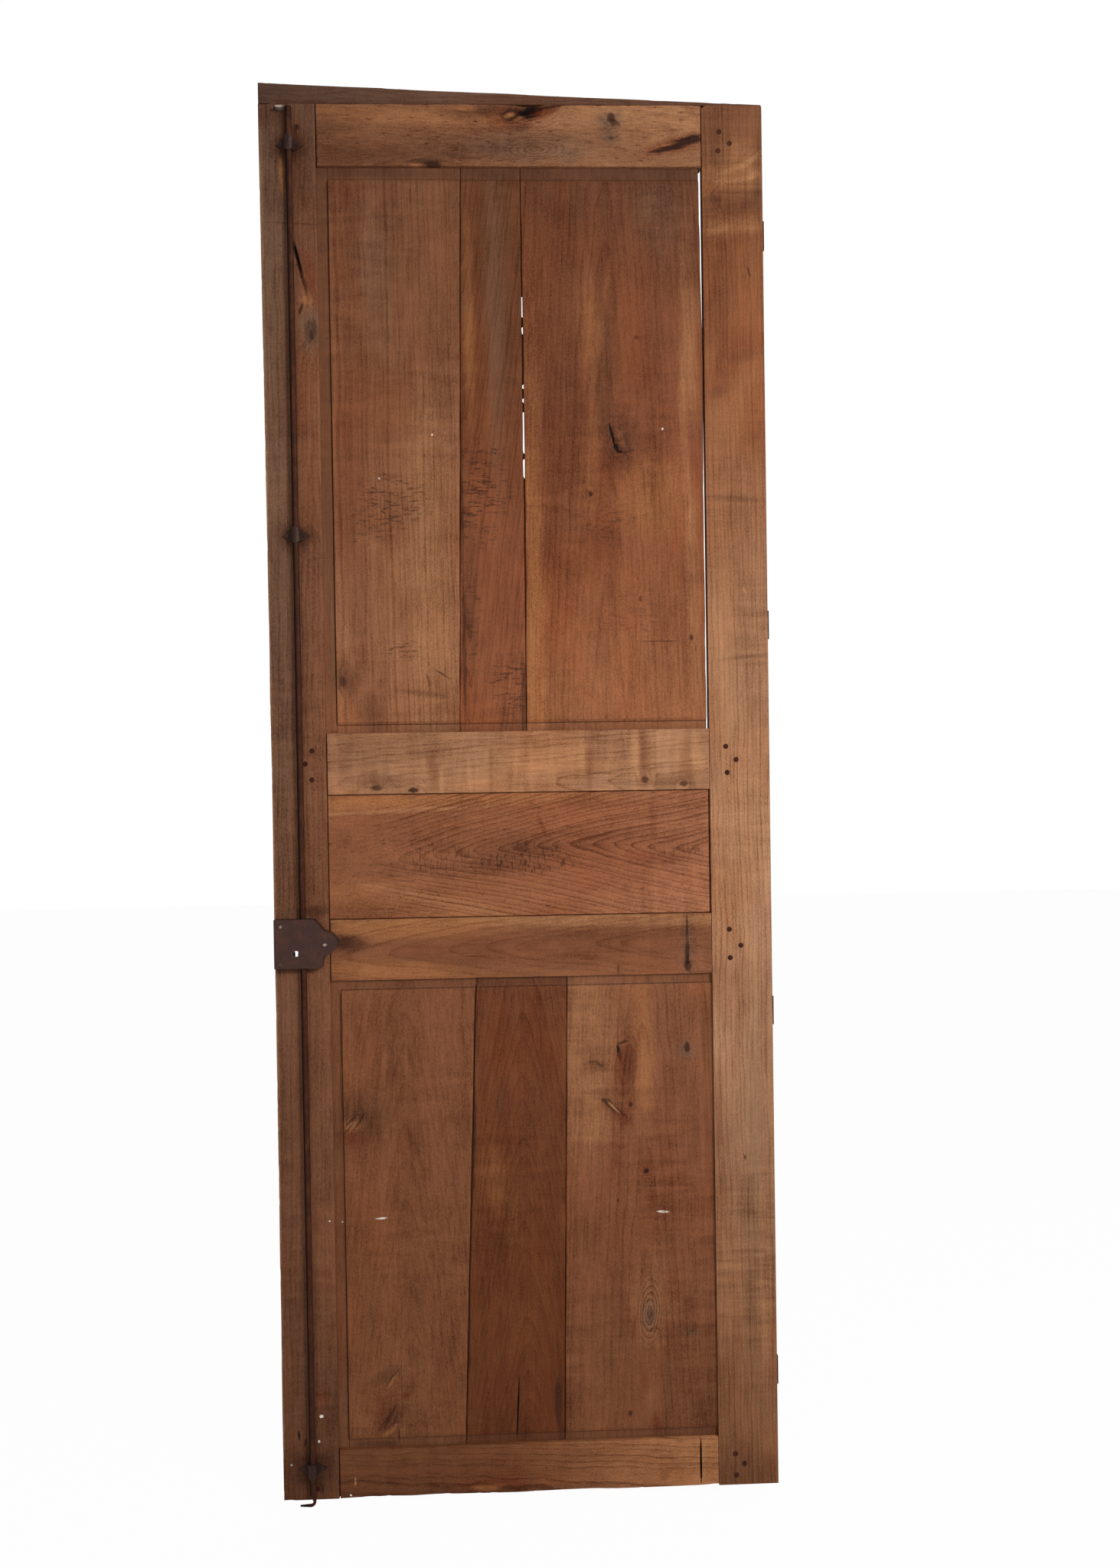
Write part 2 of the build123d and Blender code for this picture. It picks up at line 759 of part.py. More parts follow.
def bolt_recess():
    """The bed chiselled in the stile for the bolt's tail and the lug."""
    floor = rod_y + lug_reach + lug_tip_radius + recess_floor_room
    return block(
        bolt_head_right - bolt_tail_overlap - bolt_throw - recess_clearance, tail_right + recess_clearance,
        inner_face - overrun, floor,
        bolt_foot - recess_clearance, bolt_foot + bolt_height + recess_clearance)


def bolt_spring():
    """A bowed leaf spring above the bolt, held at the lock's edge."""
    left = lock_left + lock_wall
    low = bolt_foot + bolt_height + spring_clearance
    top = low + spring_bow
    lower = ThreePointArc((left, top), (left + spring_length / 2, low), (left + spring_length, top))
    upper = Pos(0, spring_thickness) * lower
    face = make_face([
        lower,
        upper,
        Line((left, top), (left, top + spring_thickness)),
        Line((left + spring_length, top), (left + spring_length, top + spring_thickness)),
    ])
    middle = (bolt_head_back + bolt_head_front) / 2
    return slab(face, middle - spring_width / 2, middle + spring_width / 2)


def key_way():
    """The key hole through the stile: a round hole for the shank and a slot below it for the bit."""
    round_part = rod_along_y(key_x, key_z, key_hole_radius, inner_face - overrun, outer_face + overrun)
    slot = block(
        key_x - key_slot_width / 2, key_x + key_slot_width / 2, inner_face - overrun, outer_face + overrun,
        key_z - key_slot_drop, key_z)
    return round_part + slot


# Hinges

def hinge_screw_places(z):
    y = outer_face - hinge_screw_from_outer_face
    return [(y, z - hinge_screw_spread / 2), (y, z + hinge_screw_spread / 2)]


def hinge_screw(face_x, y, z, length, grow):
    """A countersunk screw driven along -X from face_x, or the hole for it when grow is its clearance."""
    depth = hinge_screw_head_depth + grow
    cone = Cone(hinge_screw_radius + grow, hinge_screw_head_radius + grow, depth)
    head = Pos(face_x - depth / 2, y, z) * Rot(0, 90, 0) * cone
    shank_length = length + grow
    shank = Cylinder(hinge_screw_radius + grow, shank_length)
    return head + Pos(face_x - shank_length / 2, y, z) * Rot(0, 90, 0) * shank


def knuckle_spans(z):
    """Heights of the three knuckles of a hinge: jamb, door, jamb."""
    foot = z - hinge_height / 2
    head = z + hinge_height / 2
    door_half = hinge_height * knuckle_share / 2
    return {
        "jamb": ((foot, z - door_half - knuckle_gap), (z + door_half + knuckle_gap, head)),
        "door": ((z - door_half, z + door_half),),
    }


def hinge_leaf(z, side):
    """One leaf of a butt hinge: a plate on the edge of the door or the jamb, rolled round the pin."""
    if side == "jamb":
        x0 = -hinge_leaf_thickness
        x1 = 0
        bore = hinge_pin_radius + pin_seat_clearance
    else:
        x0 = leaf_right - hinge_leaf_thickness
        x1 = leaf_right
        bore = hinge_pin_radius + pin_running_clearance
    y0 = outer_face - hinge_leaf_width
    body = block(x0, x1, y0, outer_face, z - hinge_height / 2, z + hinge_height / 2)
    for z0, z1 in knuckle_spans(z)[side]:
        body += block(x0, x1, outer_face, hinge_axis_y, z0, z1)
        body += rod_along_z(hinge_axis_x, hinge_axis_y, barrel_radius, z0, z1)
        body -= rod_along_z(hinge_axis_x, hinge_axis_y, bore, z0 - overrun, z1 + overrun)
    for y, screw_z in hinge_screw_places(z):
        if side == "door":
            body -= hinge_screw(x1, y, screw_z, hinge_screw_length, hinge_screw_clearance)
        else:
            hole = hinge_screw(-x0, y, screw_z, hinge_screw_length, hinge_screw_clearance)
            body -= mirror(hole, about=Plane.YZ)
    return body


def hinge_pin(z):
    """A hinge pin with a low head at both ends."""
    half = hinge_height / 2
    body = rod_along_z(hinge_axis_x, hinge_axis_y, hinge_pin_radius, z - half, z + half)
    for z0, z1 in ((z - half - pin_head_height, z - half), (z + half, z + half + pin_head_height)):
        body += rod_along_z(hinge_axis_x, hinge_axis_y, pin_head_radius, z0, z1)
    return body


def hinge_bed(z):
    """The shallow bed for a door leaf in the edge of the hinge stile."""
    grow = hinge_leaf_clearance
    return block(
        leaf_right - hinge_leaf_thickness - grow, leaf_right + overrun,
        outer_face - hinge_leaf_width - grow, outer_face + overrun,
        z - hinge_height / 2 - grow, z + hinge_height / 2 + grow)


hinge_span = leaf_height - bottom_hinge_rise - top_hinge_drop
hinge_zs = {name: hinge_span * share for name, share in hinge_place_shares.items()}
hinge_screws = [
    hinge_screw(leaf_right, y, screw_z, hinge_screw_length, 0)
    for z in hinge_zs.values()
    for y, screw_z in hinge_screw_places(z)
]

# The pieces

parts = {}

lock_stile = stile(leaf_left, opening_left, "lock")
lock_stile -= bolt_recess()
lock_stile -= key_way()
guide_nail_holes = [guide_nail_hole(x, z) for x, z in guide_nail_places]
for hole in guide_nail_holes:
    lock_stile -= hole
lock_nail_holes = [lock_nail_hole(x, z) for x, z in lock_nail_places]
for hole in lock_nail_holes:
    lock_stile -= hole
lock_stile -= wedge_nail(wedge_nail_shares[0], nail_clearance)
parts["lock_stile"] = lock_stile

hinge_stile = stile(opening_right, leaf_right, "hinge")
for z in hinge_zs.values():
    hinge_stile -= hinge_bed(z)
    for y, screw_z in hinge_screw_places(z):
        hinge_stile -= hinge_screw(leaf_right, y, screw_z, hinge_screw_length, hinge_screw_clearance)
parts["hinge_stile"] = hinge_stile

top_rail = rail("top") - bark_pocket()
for share in wedge_nail_shares[1:]:
    top_rail -= wedge_nail(share, nail_clearance)
bottom_rail = rail("bottom")
for hole in guide_nail_holes:
    top_rail -= hole
    bottom_rail -= hole
parts["top_rail"] = top_rail
parts["upper_middle_rail"] = rail("upper")
parts["lower_middle_rail"] = rail("lower") - lock_nail_holes[-1]
parts["bottom_rail"] = bottom_rail

parts["top_wedge"] = top_wedge()
parts["wedge_nails"] = Compound([wedge_nail(share, 0) for share in wedge_nail_shares])

parts.update(upper_boards())
parts["middle_panel"] = middle_panel()
parts.update(lower_boards())

for name in rails:
    parts[name + "_rail_pegs"] = Compound(rail_pegs(name))

parts["lock_rod"] = lock_rod()
for name, z in guide_heights.items():
    parts["rod_guide_" + name] = guide(z)
parts["guide_nails"] = Compound([guide_nail(x, z) for x, z in guide_nail_places])

parts["lock_case"] = lock_case()
parts["lock_bolt"] = lock_bolt()
parts["bolt_spring"] = bolt_spring()
parts["lock_nails"] = Compound([lock_nail(x, z) for x, z in lock_nail_places])

for name, z in hinge_zs.items():
    parts["jamb_hinge_leaf_" + name] = hinge_leaf(z, "jamb")
    parts["door_hinge_leaf_" + name] = hinge_leaf(z, "door")
    parts["hinge_pin_" + name] = hinge_pin(z)
parts["hinge_screws"] = Compound(hinge_screws)

os.makedirs("parts", exist_ok=True)
for name, shape in parts.items():
    export_step(shape, "parts/" + name + ".step")
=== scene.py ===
"""Looks of an old panelled cherry door: knotty worn boards, rusted iron, soft light from the upper right."""

import math

import bpy
import numpy as np
from mathutils import Matrix, Vector


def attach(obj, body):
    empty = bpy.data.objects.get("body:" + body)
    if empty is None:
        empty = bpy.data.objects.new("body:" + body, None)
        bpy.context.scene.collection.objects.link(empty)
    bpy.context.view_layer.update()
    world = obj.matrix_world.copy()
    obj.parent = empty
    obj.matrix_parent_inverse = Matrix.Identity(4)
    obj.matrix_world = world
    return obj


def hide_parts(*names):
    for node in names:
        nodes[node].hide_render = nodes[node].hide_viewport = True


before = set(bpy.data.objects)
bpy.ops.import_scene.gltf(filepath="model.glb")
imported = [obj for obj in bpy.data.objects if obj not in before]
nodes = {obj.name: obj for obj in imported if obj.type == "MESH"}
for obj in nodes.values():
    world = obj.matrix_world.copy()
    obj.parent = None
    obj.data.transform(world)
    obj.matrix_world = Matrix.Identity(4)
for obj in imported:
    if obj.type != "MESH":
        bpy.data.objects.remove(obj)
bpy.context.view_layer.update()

# Sizes in mm: u to the right and v up from the leaf's lower left corner, Y as in the part
# UPPER_LEFT and UPPER_ENDS are widths of the upper panel's margin; names with LEAF are in metres

MM = 0.001
WIDTH = 734.0
HEIGHT = 2040.0
FACE = -14.0
REAR = 14.0
OPENING = (82.0, 645.0)
UPPER = (1127.4, 1950.5)
MIDDLE = (854.7, 1037.7)
LOWER = (72.5, 765.0)
UPPER_LEFT = 16.5
UPPER_ENDS = (12.5, 18.0)
UPPER_FIELD = (UPPER[0] + UPPER_ENDS[0], UPPER[1] - UPPER_ENDS[1])
LOWER_LEFT = 15.5
LOWER_ENDS = (13.0, 14.5)
LOWER_FIELD = (LOWER[0] + LOWER_ENDS[0], LOWER[1] - LOWER_ENDS[1])

LEAF_LEFT = -736.8 * MM
LEAF_FOOT = -167.0 * MM
LEAF_WIDTH = WIDTH * MM
LEAF_HEIGHT = HEIGHT * MM


def place(u, v):
    """X and Z of a point given in mm from the leaf's lower left corner."""
    return LEAF_LEFT + u * MM, LEAF_FOOT + v * MM


def srgb(red, green, blue):
    """A colour seen on screen as 0 to 255, in the linear values of the shaders."""
    c = np.array((red, green, blue)) / 255
    linear = np.where(c <= 0.04045, c / 12.92, ((c + 0.055) / 1.055) ** 2.4)
    return (*linear.tolist(), 1.0)


# Shader nodes

class Field:
    """A value over the surface: a node's output that can be added, scaled and stepped."""

    def __init__(self, graph, socket):
        self.graph = graph
        self.socket = socket

    def math(self, kind, *others):
        node = self.graph.add("ShaderNodeMath", self, *others, operation=kind)
        return Field(self.graph, node.outputs[0])

    def __add__(self, other):
        return self.math("ADD", other)

    def __sub__(self, other):
        return self.math("SUBTRACT", other)

    def __mul__(self, other):
        return self.math("MULTIPLY", other)

    def __truediv__(self, other):
        return self.math("DIVIDE", other)

    def fraction(self):
        return self.math("FRACT")

    def power(self, exponent):
        return self.math("POWER", exponent)

    def least(self, other):
        return self.math("MINIMUM", other)

    def most(self, other):
        return self.math("MAXIMUM", other)

    def step(self, low, high):
        """0 at low, 1 at high, smooth between them."""
        node = self.graph.add(
            "ShaderNodeMapRange", self, low, high, 0.0, 1.0, interpolation_type="SMOOTHSTEP")
        return Field(self.graph, node.outputs[0])


class Graph:
    """One material, written as sums of fields of the place on the part."""

    def __init__(self, name):
        self.material = bpy.data.materials.new(name)
        self.material.use_nodes = True
        self.tree = self.material.node_tree
        self.shader = self.tree.nodes["Principled BSDF"]
        self.place = self.add("ShaderNodeTexCoord").outputs["Object"]
        axes = self.add("ShaderNodeSeparateXYZ", self.place)
        self.x, self.y, self.z = (Field(self, socket) for socket in axes.outputs)

    def join(self, socket, value):
        if isinstance(value, Field):
            self.tree.links.new(value.socket, socket)
        elif isinstance(value, bpy.types.NodeSocket):
            self.tree.links.new(value, socket)
        elif value is not None:
            socket.default_value = value

    def add(self, kind, *values, **settings):
        """A new node with its settings, its inputs filled in order."""
        node = self.tree.nodes.new(kind)
        for key, value in settings.items():
            setattr(node, key, value)
        for socket, value in zip(node.inputs, values):
            self.join(socket, value)
        return node

    def cloud(self, scales, seed=0.0, detail=2.0, rough=0.5, swirl=0.0):
        """Cloudy values from -1 to 1, with scales in clouds per metre along X, Y and Z, stirred by swirl."""
        shift = (seed, seed * 1.7, -seed)
        spread = self.add("ShaderNodeVectorMath", self.place, scales, shift, operation="MULTIPLY_ADD")
        noise = self.add("ShaderNodeTexNoise", spread.outputs[0])
        self.join(noise.inputs["Scale"], 1.0)
        self.join(noise.inputs["Detail"], detail)
        self.join(noise.inputs["Roughness"], rough)
        self.join(noise.inputs["Distortion"], swirl)
        return Field(self, noise.outputs[0]) * 2.0 - 1.0

    def layers(self, depth, scale, seed):
        """Uneven values from -1 to 1 along one depth, with scale in changes per metre."""
        noise = self.add("ShaderNodeTexNoise", noise_dimensions="1D")
        self.join(noise.inputs["W"], depth + seed)
        self.join(noise.inputs["Scale"], scale)
        self.join(noise.inputs["Detail"], 2.0)
        return Field(self, noise.outputs[0]) * 2.0 - 1.0

    def within(self, left, right, foot, head):
        """Distance in mm inside a frame of edges u, u, v, v; None leaves a side open."""
        (x0, z0), (x1, z1) = place(left or 0.0, foot), place(right or 0.0, head)
        inside = (self.z - z0).least((self.z - z1) * -1.0)
        if left is not None:
            inside = inside.least(self.x - x0)
        if right is not None:
            inside = inside.least((self.x - x1) * -1.0)
        return inside / MM

    def ramp(self, value, stops):
        """A colour that follows value through stops of position and colour."""
        node = self.add("ShaderNodeValToRGB", value)
        elements = node.color_ramp.elements
        while len(elements) < len(stops):
            elements.new(0.5)
        for element, (position, colour) in zip(elements, stops):
            element.position = position
            element.color = colour
        return node.outputs[0]

    def mix(self, share, first, second, kind="MIX"):
        node = self.add("ShaderNodeMix", data_type="RGBA", blend_type=kind)
        for index, value in ((0, share), (6, first), (7, second)):
            self.join(node.inputs[index], value)
        return node.outputs[2]

    def oval(self, u, v, half_u, half_v, ragged, turn=0):
        """Distance from a spot's middle, 1 at the rim of an oval turned by degrees and frayed by a cloud."""
        x, z = place(u, v)
        node = self.add(
            "ShaderNodeMapping", self.place, (x, 0.0, z), (0.0, math.radians(-turn), 0.0),
            (half_u * MM, 1000.0, half_v * MM), vector_type="TEXTURE")
        length = self.add("ShaderNodeVectorMath", node.outputs[0], operation="LENGTH")
        return Field(self, length.outputs["Value"]) + ragged

    def finish(self, colour, rough, height, depth):
        """Colour, roughness and a fine relief of some depth go to the shader."""
        bump = self.add("ShaderNodeBump")
        self.join(bump.inputs["Strength"], 1.0)
        self.join(bump.inputs["Distance"], depth)
        self.join(bump.inputs["Height"], height)
        self.join(self.shader.inputs["Base Color"], colour)
        self.join(self.shader.inputs["Roughness"], rough)
        self.join(self.shader.inputs["Normal"], bump.outputs[0])
        return self.material


# Wood

INKS = {
    "black": (srgb(20, 12, 9), 0.25),
    "dark": (srgb(52, 29, 19), 0.35),
    "shade": (srgb(80, 48, 32), 0.75),
    "grey": (srgb(98, 74, 58), 0.75),
    "red": (srgb(100, 47, 26), 0.8),
    # sapwood; one thin oval on a knot of the lower right board is a painted highlight
    "sap": (srgb(170, 121, 82), 0.6),
    "gold": (srgb(158, 103, 62), 0.7),
    "white": (srgb(226, 218, 206), 0.3),
    # grease round the iron guides, and painted shadow to the right of the lock's ear
    "soot": (srgb(66, 38, 25), 0.6),
}
INNER_ONLY = ("white", "soot")
BENDING = ("dark", "black")
GRAIN_DARK = (0.46, 0.36, 0.3, 1.0)
GRAIN_MEAN = (1.0, 1.0, 1.0, 1.0)
GRAIN_PALE = (1.5, 1.58, 1.6, 1.0)
FLUSH = (1.06, 0.86, 0.68, 1.0)
FLECK = srgb(52, 29, 19)
SCAR = srgb(62, 37, 25)
# painted shade for the panels' sunk margins, and painted shadow along the step to the raised field
MARGIN_SHADE = srgb(88, 60, 44)
STEP_SHADOW = srgb(44, 21, 12)
WAX_SHINE = 0.07


def wood(name, grain, shades, heart, taper=0.02, ring=9.0, rings=0.3, clear=0.0, curl=0.14,
         bars=(14.0, 62.0), strand=44.0, sway=9.0, specks=0.4, border=None, calm=None, marks=(), eyes=(),
         tears=(), seed=1.0):
    """Cherry: slanted year rings round a heart line, fibres, streaks, cross curl, sapwood, knots, stains.

    grain is the axis the fibres follow; shades are shares of the leaf along it with colours, and these
    colours also hold painted light: they darken the boards towards the leaf's top, its foot and its left.
    heart is the heart line's place across the grain and its depth behind the face, in mm; the line wanders
    by sway mm, and taper slants it. ring is the rings' mean distance in mm and rings their strength; they
    fade in between the two shares of calm and are steadier as clear nears 1. bars are the changes per metre
    of the curl across and along the grain, strand those of the fibres along it. border is the edge of a
    raised field; its sunk margin is painted in shade and a dark line along the step is painted shadow.
    marks are inks, each with its ovals: u, v, half sizes, strength in percent and, where it is turned,
    degrees; large dark ones bend the rings. eyes are knots with rings round them: u, v, half sizes, turn,
    strength. tears are ovals torn by the plane: u, v, half sizes, strength.
    """
    g = Graph(name)
    upright = grain == "Z"
    along = (g.z - LEAF_FOOT) / LEAF_HEIGHT if upright else (g.x - LEAF_LEFT) / LEAF_WIDTH
    across = (g.x - LEAF_LEFT) if upright else (g.z - LEAF_FOOT)
    length = g.z if upright else g.x

    def stretched(over, under):
        return (over, over, under) if upright else (under, over, over)

    wander = g.cloud(stretched(5.0, 2.6), seed) * (sway * MM)
    quiver = g.cloud(stretched(24.0, 15.0), seed + 3.0, detail=3.0) * ((5.0 - 3.0 * clear) * MM)
    torn_rim = g.cloud(stretched(90.0, 30.0), seed + 5.0, detail=3.0)
    fine_rim = g.cloud(stretched(420.0, 140.0), seed + 6.0)
    frayed = torn_rim * 0.5 + fine_rim * 0.45
    away = across - heart[0] * MM + wander
    deep = g.y + (heart[1] - FACE) * MM
    radius = (away * away + deep * deep).power(0.5) + quiver + length * taper
    inner = g.y.step(0.0, -5.0 * MM)
    inked = []
    for ink, *spots in marks:
        colour, soft = INKS[ink]
        for u, v, half_u, half_v, strength, *turn in spots:
            oval = g.oval(u, v, half_u, half_v, frayed, *turn)
            if ink in BENDING and min(half_u, half_v) > 2.5:
                radius = radius + oval.step(4.0, 0.0) * (min(half_u, half_v) * 2.2 * MM)
            cover = oval.step(1.0 + soft, 1.0 - soft) * (strength / 100)
            inked.append((cover * inner if ink in INNER_ONLY else cover, colour))

    rhythm = g.layers(radius, 70.0, seed)
    vivid = (g.cloud(stretched(7.0, 3.0), seed + 8.0) * 0.9 + rhythm * 0.6) * (1.0 - clear) + 0.8
    crisp = 5.0 - 2.5 * clear
    year = (radius / (ring * MM) + rhythm * 0.9).fraction()
    late = (year.power(crisp) - 1 / (crisp + 1)) * vivid.most(0.0)
    if calm is not None:
        late = late * along.step(*calm)
    streak = g.cloud(stretched(30.0, 1.1), seed + 7.0, detail=6.0, rough=0.66)
    fibre = g.cloud(stretched(380.0, strand), seed + 9.0, detail=4.0, rough=0.7)
    grit = g.cloud((520.0, 520.0, 520.0), seed + 19.0)
    patchy = g.cloud((4.0, 4.0, 4.0), seed + 10.0).step(-0.3, 0.35)
    ripple = g.cloud(stretched(*bars), seed + 11.0, detail=3.0, rough=0.55, swirl=0.7) * patchy
    wear = g.cloud(stretched(13.0, 6.0), seed + 13.0, detail=7.0, rough=0.68)
    flush = g.cloud(stretched(11.0, 4.5), seed + 21.0, detail=3.0, rough=0.6).step(-0.15, 0.5)
    tone = late * (-1.5 * rings) + streak * 0.38 + fibre * (0.48 - 0.22 * clear) + grit * 0.46
    tone = tone + ripple * (2.4 * curl) + wear * 0.62 + 0.49
    for u, v, half_u, half_v, turn, strength in eyes:
        oval = g.oval(u, v, half_u, half_v, frayed * 0.3, turn)
        circles = (oval * 2.2).fraction().power(3.0) - 0.25
        tone = tone - circles * oval.step(3.4, 0.8) * (strength / 100)
    flecks = g.cloud(stretched(310.0, 70.0), seed + 15.0).step(0.34, 0.52)
    torn = g.cloud(stretched(66.0, 310.0), seed + 17.0, detail=3.0, rough=0.65).step(0.0, 0.3)
    scars = None
    for u, v, half_u, half_v, strength in tears:
        scar = g.oval(u, v, half_u, half_v, frayed * 1.6).step(1.35, 0.6)
        scar = scar * torn * inner * (strength / 100)
        scars = scar if scars is None else scars.most(scar)

    # painted light: the colour stops along the grain darken the boards towards the leaf's top, foot and left
    paint = g.ramp(along, [(share, srgb(*colour)) for share, *colour in shades])
    paint = g.mix(flush * 0.6, paint, FLUSH, "MULTIPLY")
    for cover, ink in inked:
        paint = g.mix(cover, paint, ink)
    grain_tint = g.ramp(tone, ((0.0, GRAIN_DARK), (0.5, GRAIN_MEAN), (1.0, GRAIN_PALE)))
    paint = g.mix(1.0, paint, grain_tint, "MULTIPLY")
    paint = g.mix(flecks * specks, paint, FLECK)
    relief = fibre * 0.3 + late * -0.3 + ripple * 0.5 - flecks * 0.5
    if scars is not None:
        paint = g.mix(scars, paint, SCAR)
        relief = relief - scars
    if border is not None:
        inside = g.within(*border) + quiver / (10.0 * MM)
        line = inside.step(-1.8, -0.8) * inside.step(0.7, -0.1)
        # painted shade: the sunk margin is darkened and a dark shadow line is painted along the field's step
        paint = g.mix(inside.step(0.6, -0.6) * 0.3, paint, MARGIN_SHADE)
        paint = g.mix(line * 0.55, paint, STEP_SHADOW)
    rough = wear * 0.08 + fibre * 0.05 + 0.6
    g.join(g.shader.inputs["Specular IOR Level"], WAX_SHINE)
    return g.finish(paint, rough, relief, 0.3 * MM)


lock_stile_wood = wood(
    "lock_stile_cherry", "Z",
    ((0.0, 88, 55, 37), (0.15, 104, 66, 45), (0.45, 116, 74, 51), (0.8, 113, 72, 50), (1.0, 92, 62, 46)),
    heart=(150, 50), taper=0.01, ring=6.5, rings=0.2, clear=0.3, strand=22.0, seed=2.0,
    marks=(("grey", (14, 1600, 26, 800, 65)), ("shade", (12, 300, 20, 500, 30)),
        ("sap", (2, 1050, 3, 900, 40)), ("red", (70, 1790, 13, 40, 60, 10)),
        ("dark", (56, 1806, 2.6, 46, 85, 14)), ("black", (52, 1822, 1.5, 30, 95, 13)),
        ("grey", (70, 1713, 15, 29, 70)), ("gold", (66, 1756, 8, 12, 35, 20)),
        ("dark", (71, 1713, 8, 17, 60), (57, 1744, 2.6, 9, 85, -20)), ("black", (72, 1706, 3, 8, 50, 8)),
        ("shade", (55, 1867, 36, 1, 90, -3)), ("gold", (33, 1938, 3, 26, 70, 3)),
        ("white", (57.8, 123.8, 2.8, 2.3, 100), (53.7, 86.4, 2, 2, 90), (13, 53, 1.5, 1.5, 80),
        (75, 412, 1.3, 1.3, 80)), ("red", (5, 44, 3, 4, 80)), ("black", (24.8, 95.4, 1.5, 8, 100, 8),
        (33.6, 84.9, 1.1, 8, 90, -12), (55, 1998, 1.3, 12, 90, 8)), ("soot", (45, 1979, 28, 24, 80),
        (44, 1975, 21, 14, 70), (45, 47, 34, 30, 80), (45, 46, 24, 17, 75)),
        ("dark", (56, 17, 4, 8, 70, 10)), ("soot", (45, 1415, 24, 20, 70), (45, 1414, 18, 11, 50)),
        ("shade", (20, 2024, 34, 18, 70)), ("soot", (60, 868, 26, 8, 60), (30, 783, 34, 5, 60)),
        ("red", (62, 150, 9, 16, 40))))
hinge_stile_wood = wood(
    "hinge_stile_cherry", "Z",
    ((0.0, 114, 74, 48), (0.12, 126, 84, 57), (0.3, 146, 105, 77), (0.46, 160, 116, 85),
     (0.64, 144, 101, 72), (0.76, 128, 81, 52), (0.84, 121, 74, 45), (0.92, 114, 71, 44),
     (1.0, 106, 67, 44)),
    heart=(560, 90), taper=0.008, ring=5.5, rings=0.24, clear=0.4, curl=0.26, bars=(9.0, 96.0), strand=14.0,
    seed=14.0,
    marks=(("grey", (706, 420, 18, 260, 30)), ("shade", (727, 1930, 7, 80, 50), (664, 1990, 18, 50, 50)),
        ("sap", (694, 1946, 40, 34, 20), (690, 1948, 24, 4, 20, 22), (714, 1958, 16, 4.5, 30, 36),
        (704, 1932, 26, 3.6, 20, 14), (722, 1940, 9, 5, 25, 46), (676, 1930, 14, 4, 20, 10)),
        ("shade", (692, 1896, 50, 17, 50, 4), (716, 1900, 10, 9, 50, 30)),
        ("dark", (660, 1905, 5, 9, 40, 20)), ("sap", (690, 1864, 46, 12, 25, 4), (672, 1860, 16, 5, 25, 20)),
        ("red", (684, 1760, 60, 80, 25), (700, 1693, 30, 24, 45, 12)), ("shade", (700, 1674, 24, 8, 35, 14)),
        ("red", (668, 1640, 18, 34, 50, -24)), ("shade", (664, 1622, 14, 7, 40, 20)),
        ("dark", (712, 1798, 1.4, 8, 70, 16)), ("shade", (690, 1465, 40, 4, 40, -4),
        (700, 1232, 36, 3, 30, 6), (680, 20, 60, 30, 40)), ("sap", (700, 1330, 1.6, 5, 80, 20),
        (716, 330, 12, 120, 30)), ("red", (652, 560, 6, 60, 40)), ("dark", (690, 490, 2.2, 3, 70))))
top_rail_wood = wood(
    "top_rail_cherry", "X",
    ((0.1, 108, 71, 49), (0.4, 128, 85, 59), (0.6, 129, 87, 60), (0.9, 130, 88, 61)),
    heart=(1974, 6), taper=0.16, ring=9.0, rings=0.1, sway=14.0, specks=0.9, seed=23.0,
    eyes=((404, 1975, 22, 8, 2, 45), (394, 2030, 20, 10, 8, 30)),
    marks=(("gold", (220, 2022, 170, 13, 35, -3)), ("sap", (560, 2015, 150, 24, 30, -4)),
        ("shade", (190, 1965, 150, 20, 50)), ("grey", (372, 1976, 96, 22, 55)),
        ("shade", (400, 1986, 60, 10, 30, 4)), ("grey", (446, 1968, 18, 14, 40)),
        ("shade", (340, 2031, 58, 8, 80, 4)), ("red", (370, 2024, 32, 14, 85, 10)),
        ("dark", (374, 2026, 22, 11, 95, 12)), ("gold", (364, 2024, 7, 3.4, 70, 20),
        (378, 2020, 9, 2.4, 50, 24)), ("black", (394, 2030, 17, 10, 100, 8)),
        ("red", (418, 2031, 18, 6, 90, 12)), ("dark", (420, 2036, 24, 2.2, 90, 8)),
        ("gold", (300, 2034, 14, 3, 60)), ("shade", (384, 2006, 14, 5, 50, 20)),
        ("grey", (511, 2016, 17, 13, 80)), ("dark", (513, 2020, 5, 9, 85, 10), (519, 2015, 8, 3, 70, -30)),
        ("grey", (510, 1993, 13, 9, 75)), ("dark", (512, 1992, 4, 4, 60)),
        ("red", (606, 1983, 42, 9, 80, 16)), ("dark", (629, 1990, 17, 6.5, 100, 8)),
        ("black", (622, 1990, 9, 3, 90, 14)), ("dark", (604, 1981, 27, 6, 100, 18)),
        ("gold", (592, 1982, 12, 1.8, 60, 14)), ("dark", (580, 1973, 14, 2.2, 85, 6),
        (251, 1953, 12, 4, 90)), ("gold", (226, 1953, 8, 3, 70)), ("dark", (238, 1957, 24, 4, 60))))
upper_rail_wood = wood(
    "upper_middle_rail_cherry", "X",
    ((0.1, 142, 98, 70), (0.35, 150, 106, 75), (0.55, 155, 110, 79), (0.9, 144, 101, 72)),
    heart=(1050, 20), taper=-0.09, ring=9.0, rings=0.2, curl=0.3, bars=(7.0, 44.0), strand=24.0, specks=0.4,
    seed=31.0,
    marks=(("dark", (154, 1047, 9, 5, 85), (208, 1043, 7, 4, 85), (549, 1053, 6, 5, 80),
        (606, 1046, 6, 4, 80)), ("shade", (160, 1056, 30, 12, 50), (580, 1050, 60, 6, 35),
        (130, 1080, 40, 40, 25)), ("red", (547, 1085, 9, 32, 50), (610, 1085, 8, 34, 35)),
        ("sap", (534, 1086, 7, 38, 50), (627, 1088, 8, 32, 60), (457, 1090, 6, 36, 50)),
        ("red", (466, 1078, 5, 34, 35)), ("sap", (413, 1086, 10, 40, 30)),
        ("red", (236, 1075, 7, 26, 40, 10))))
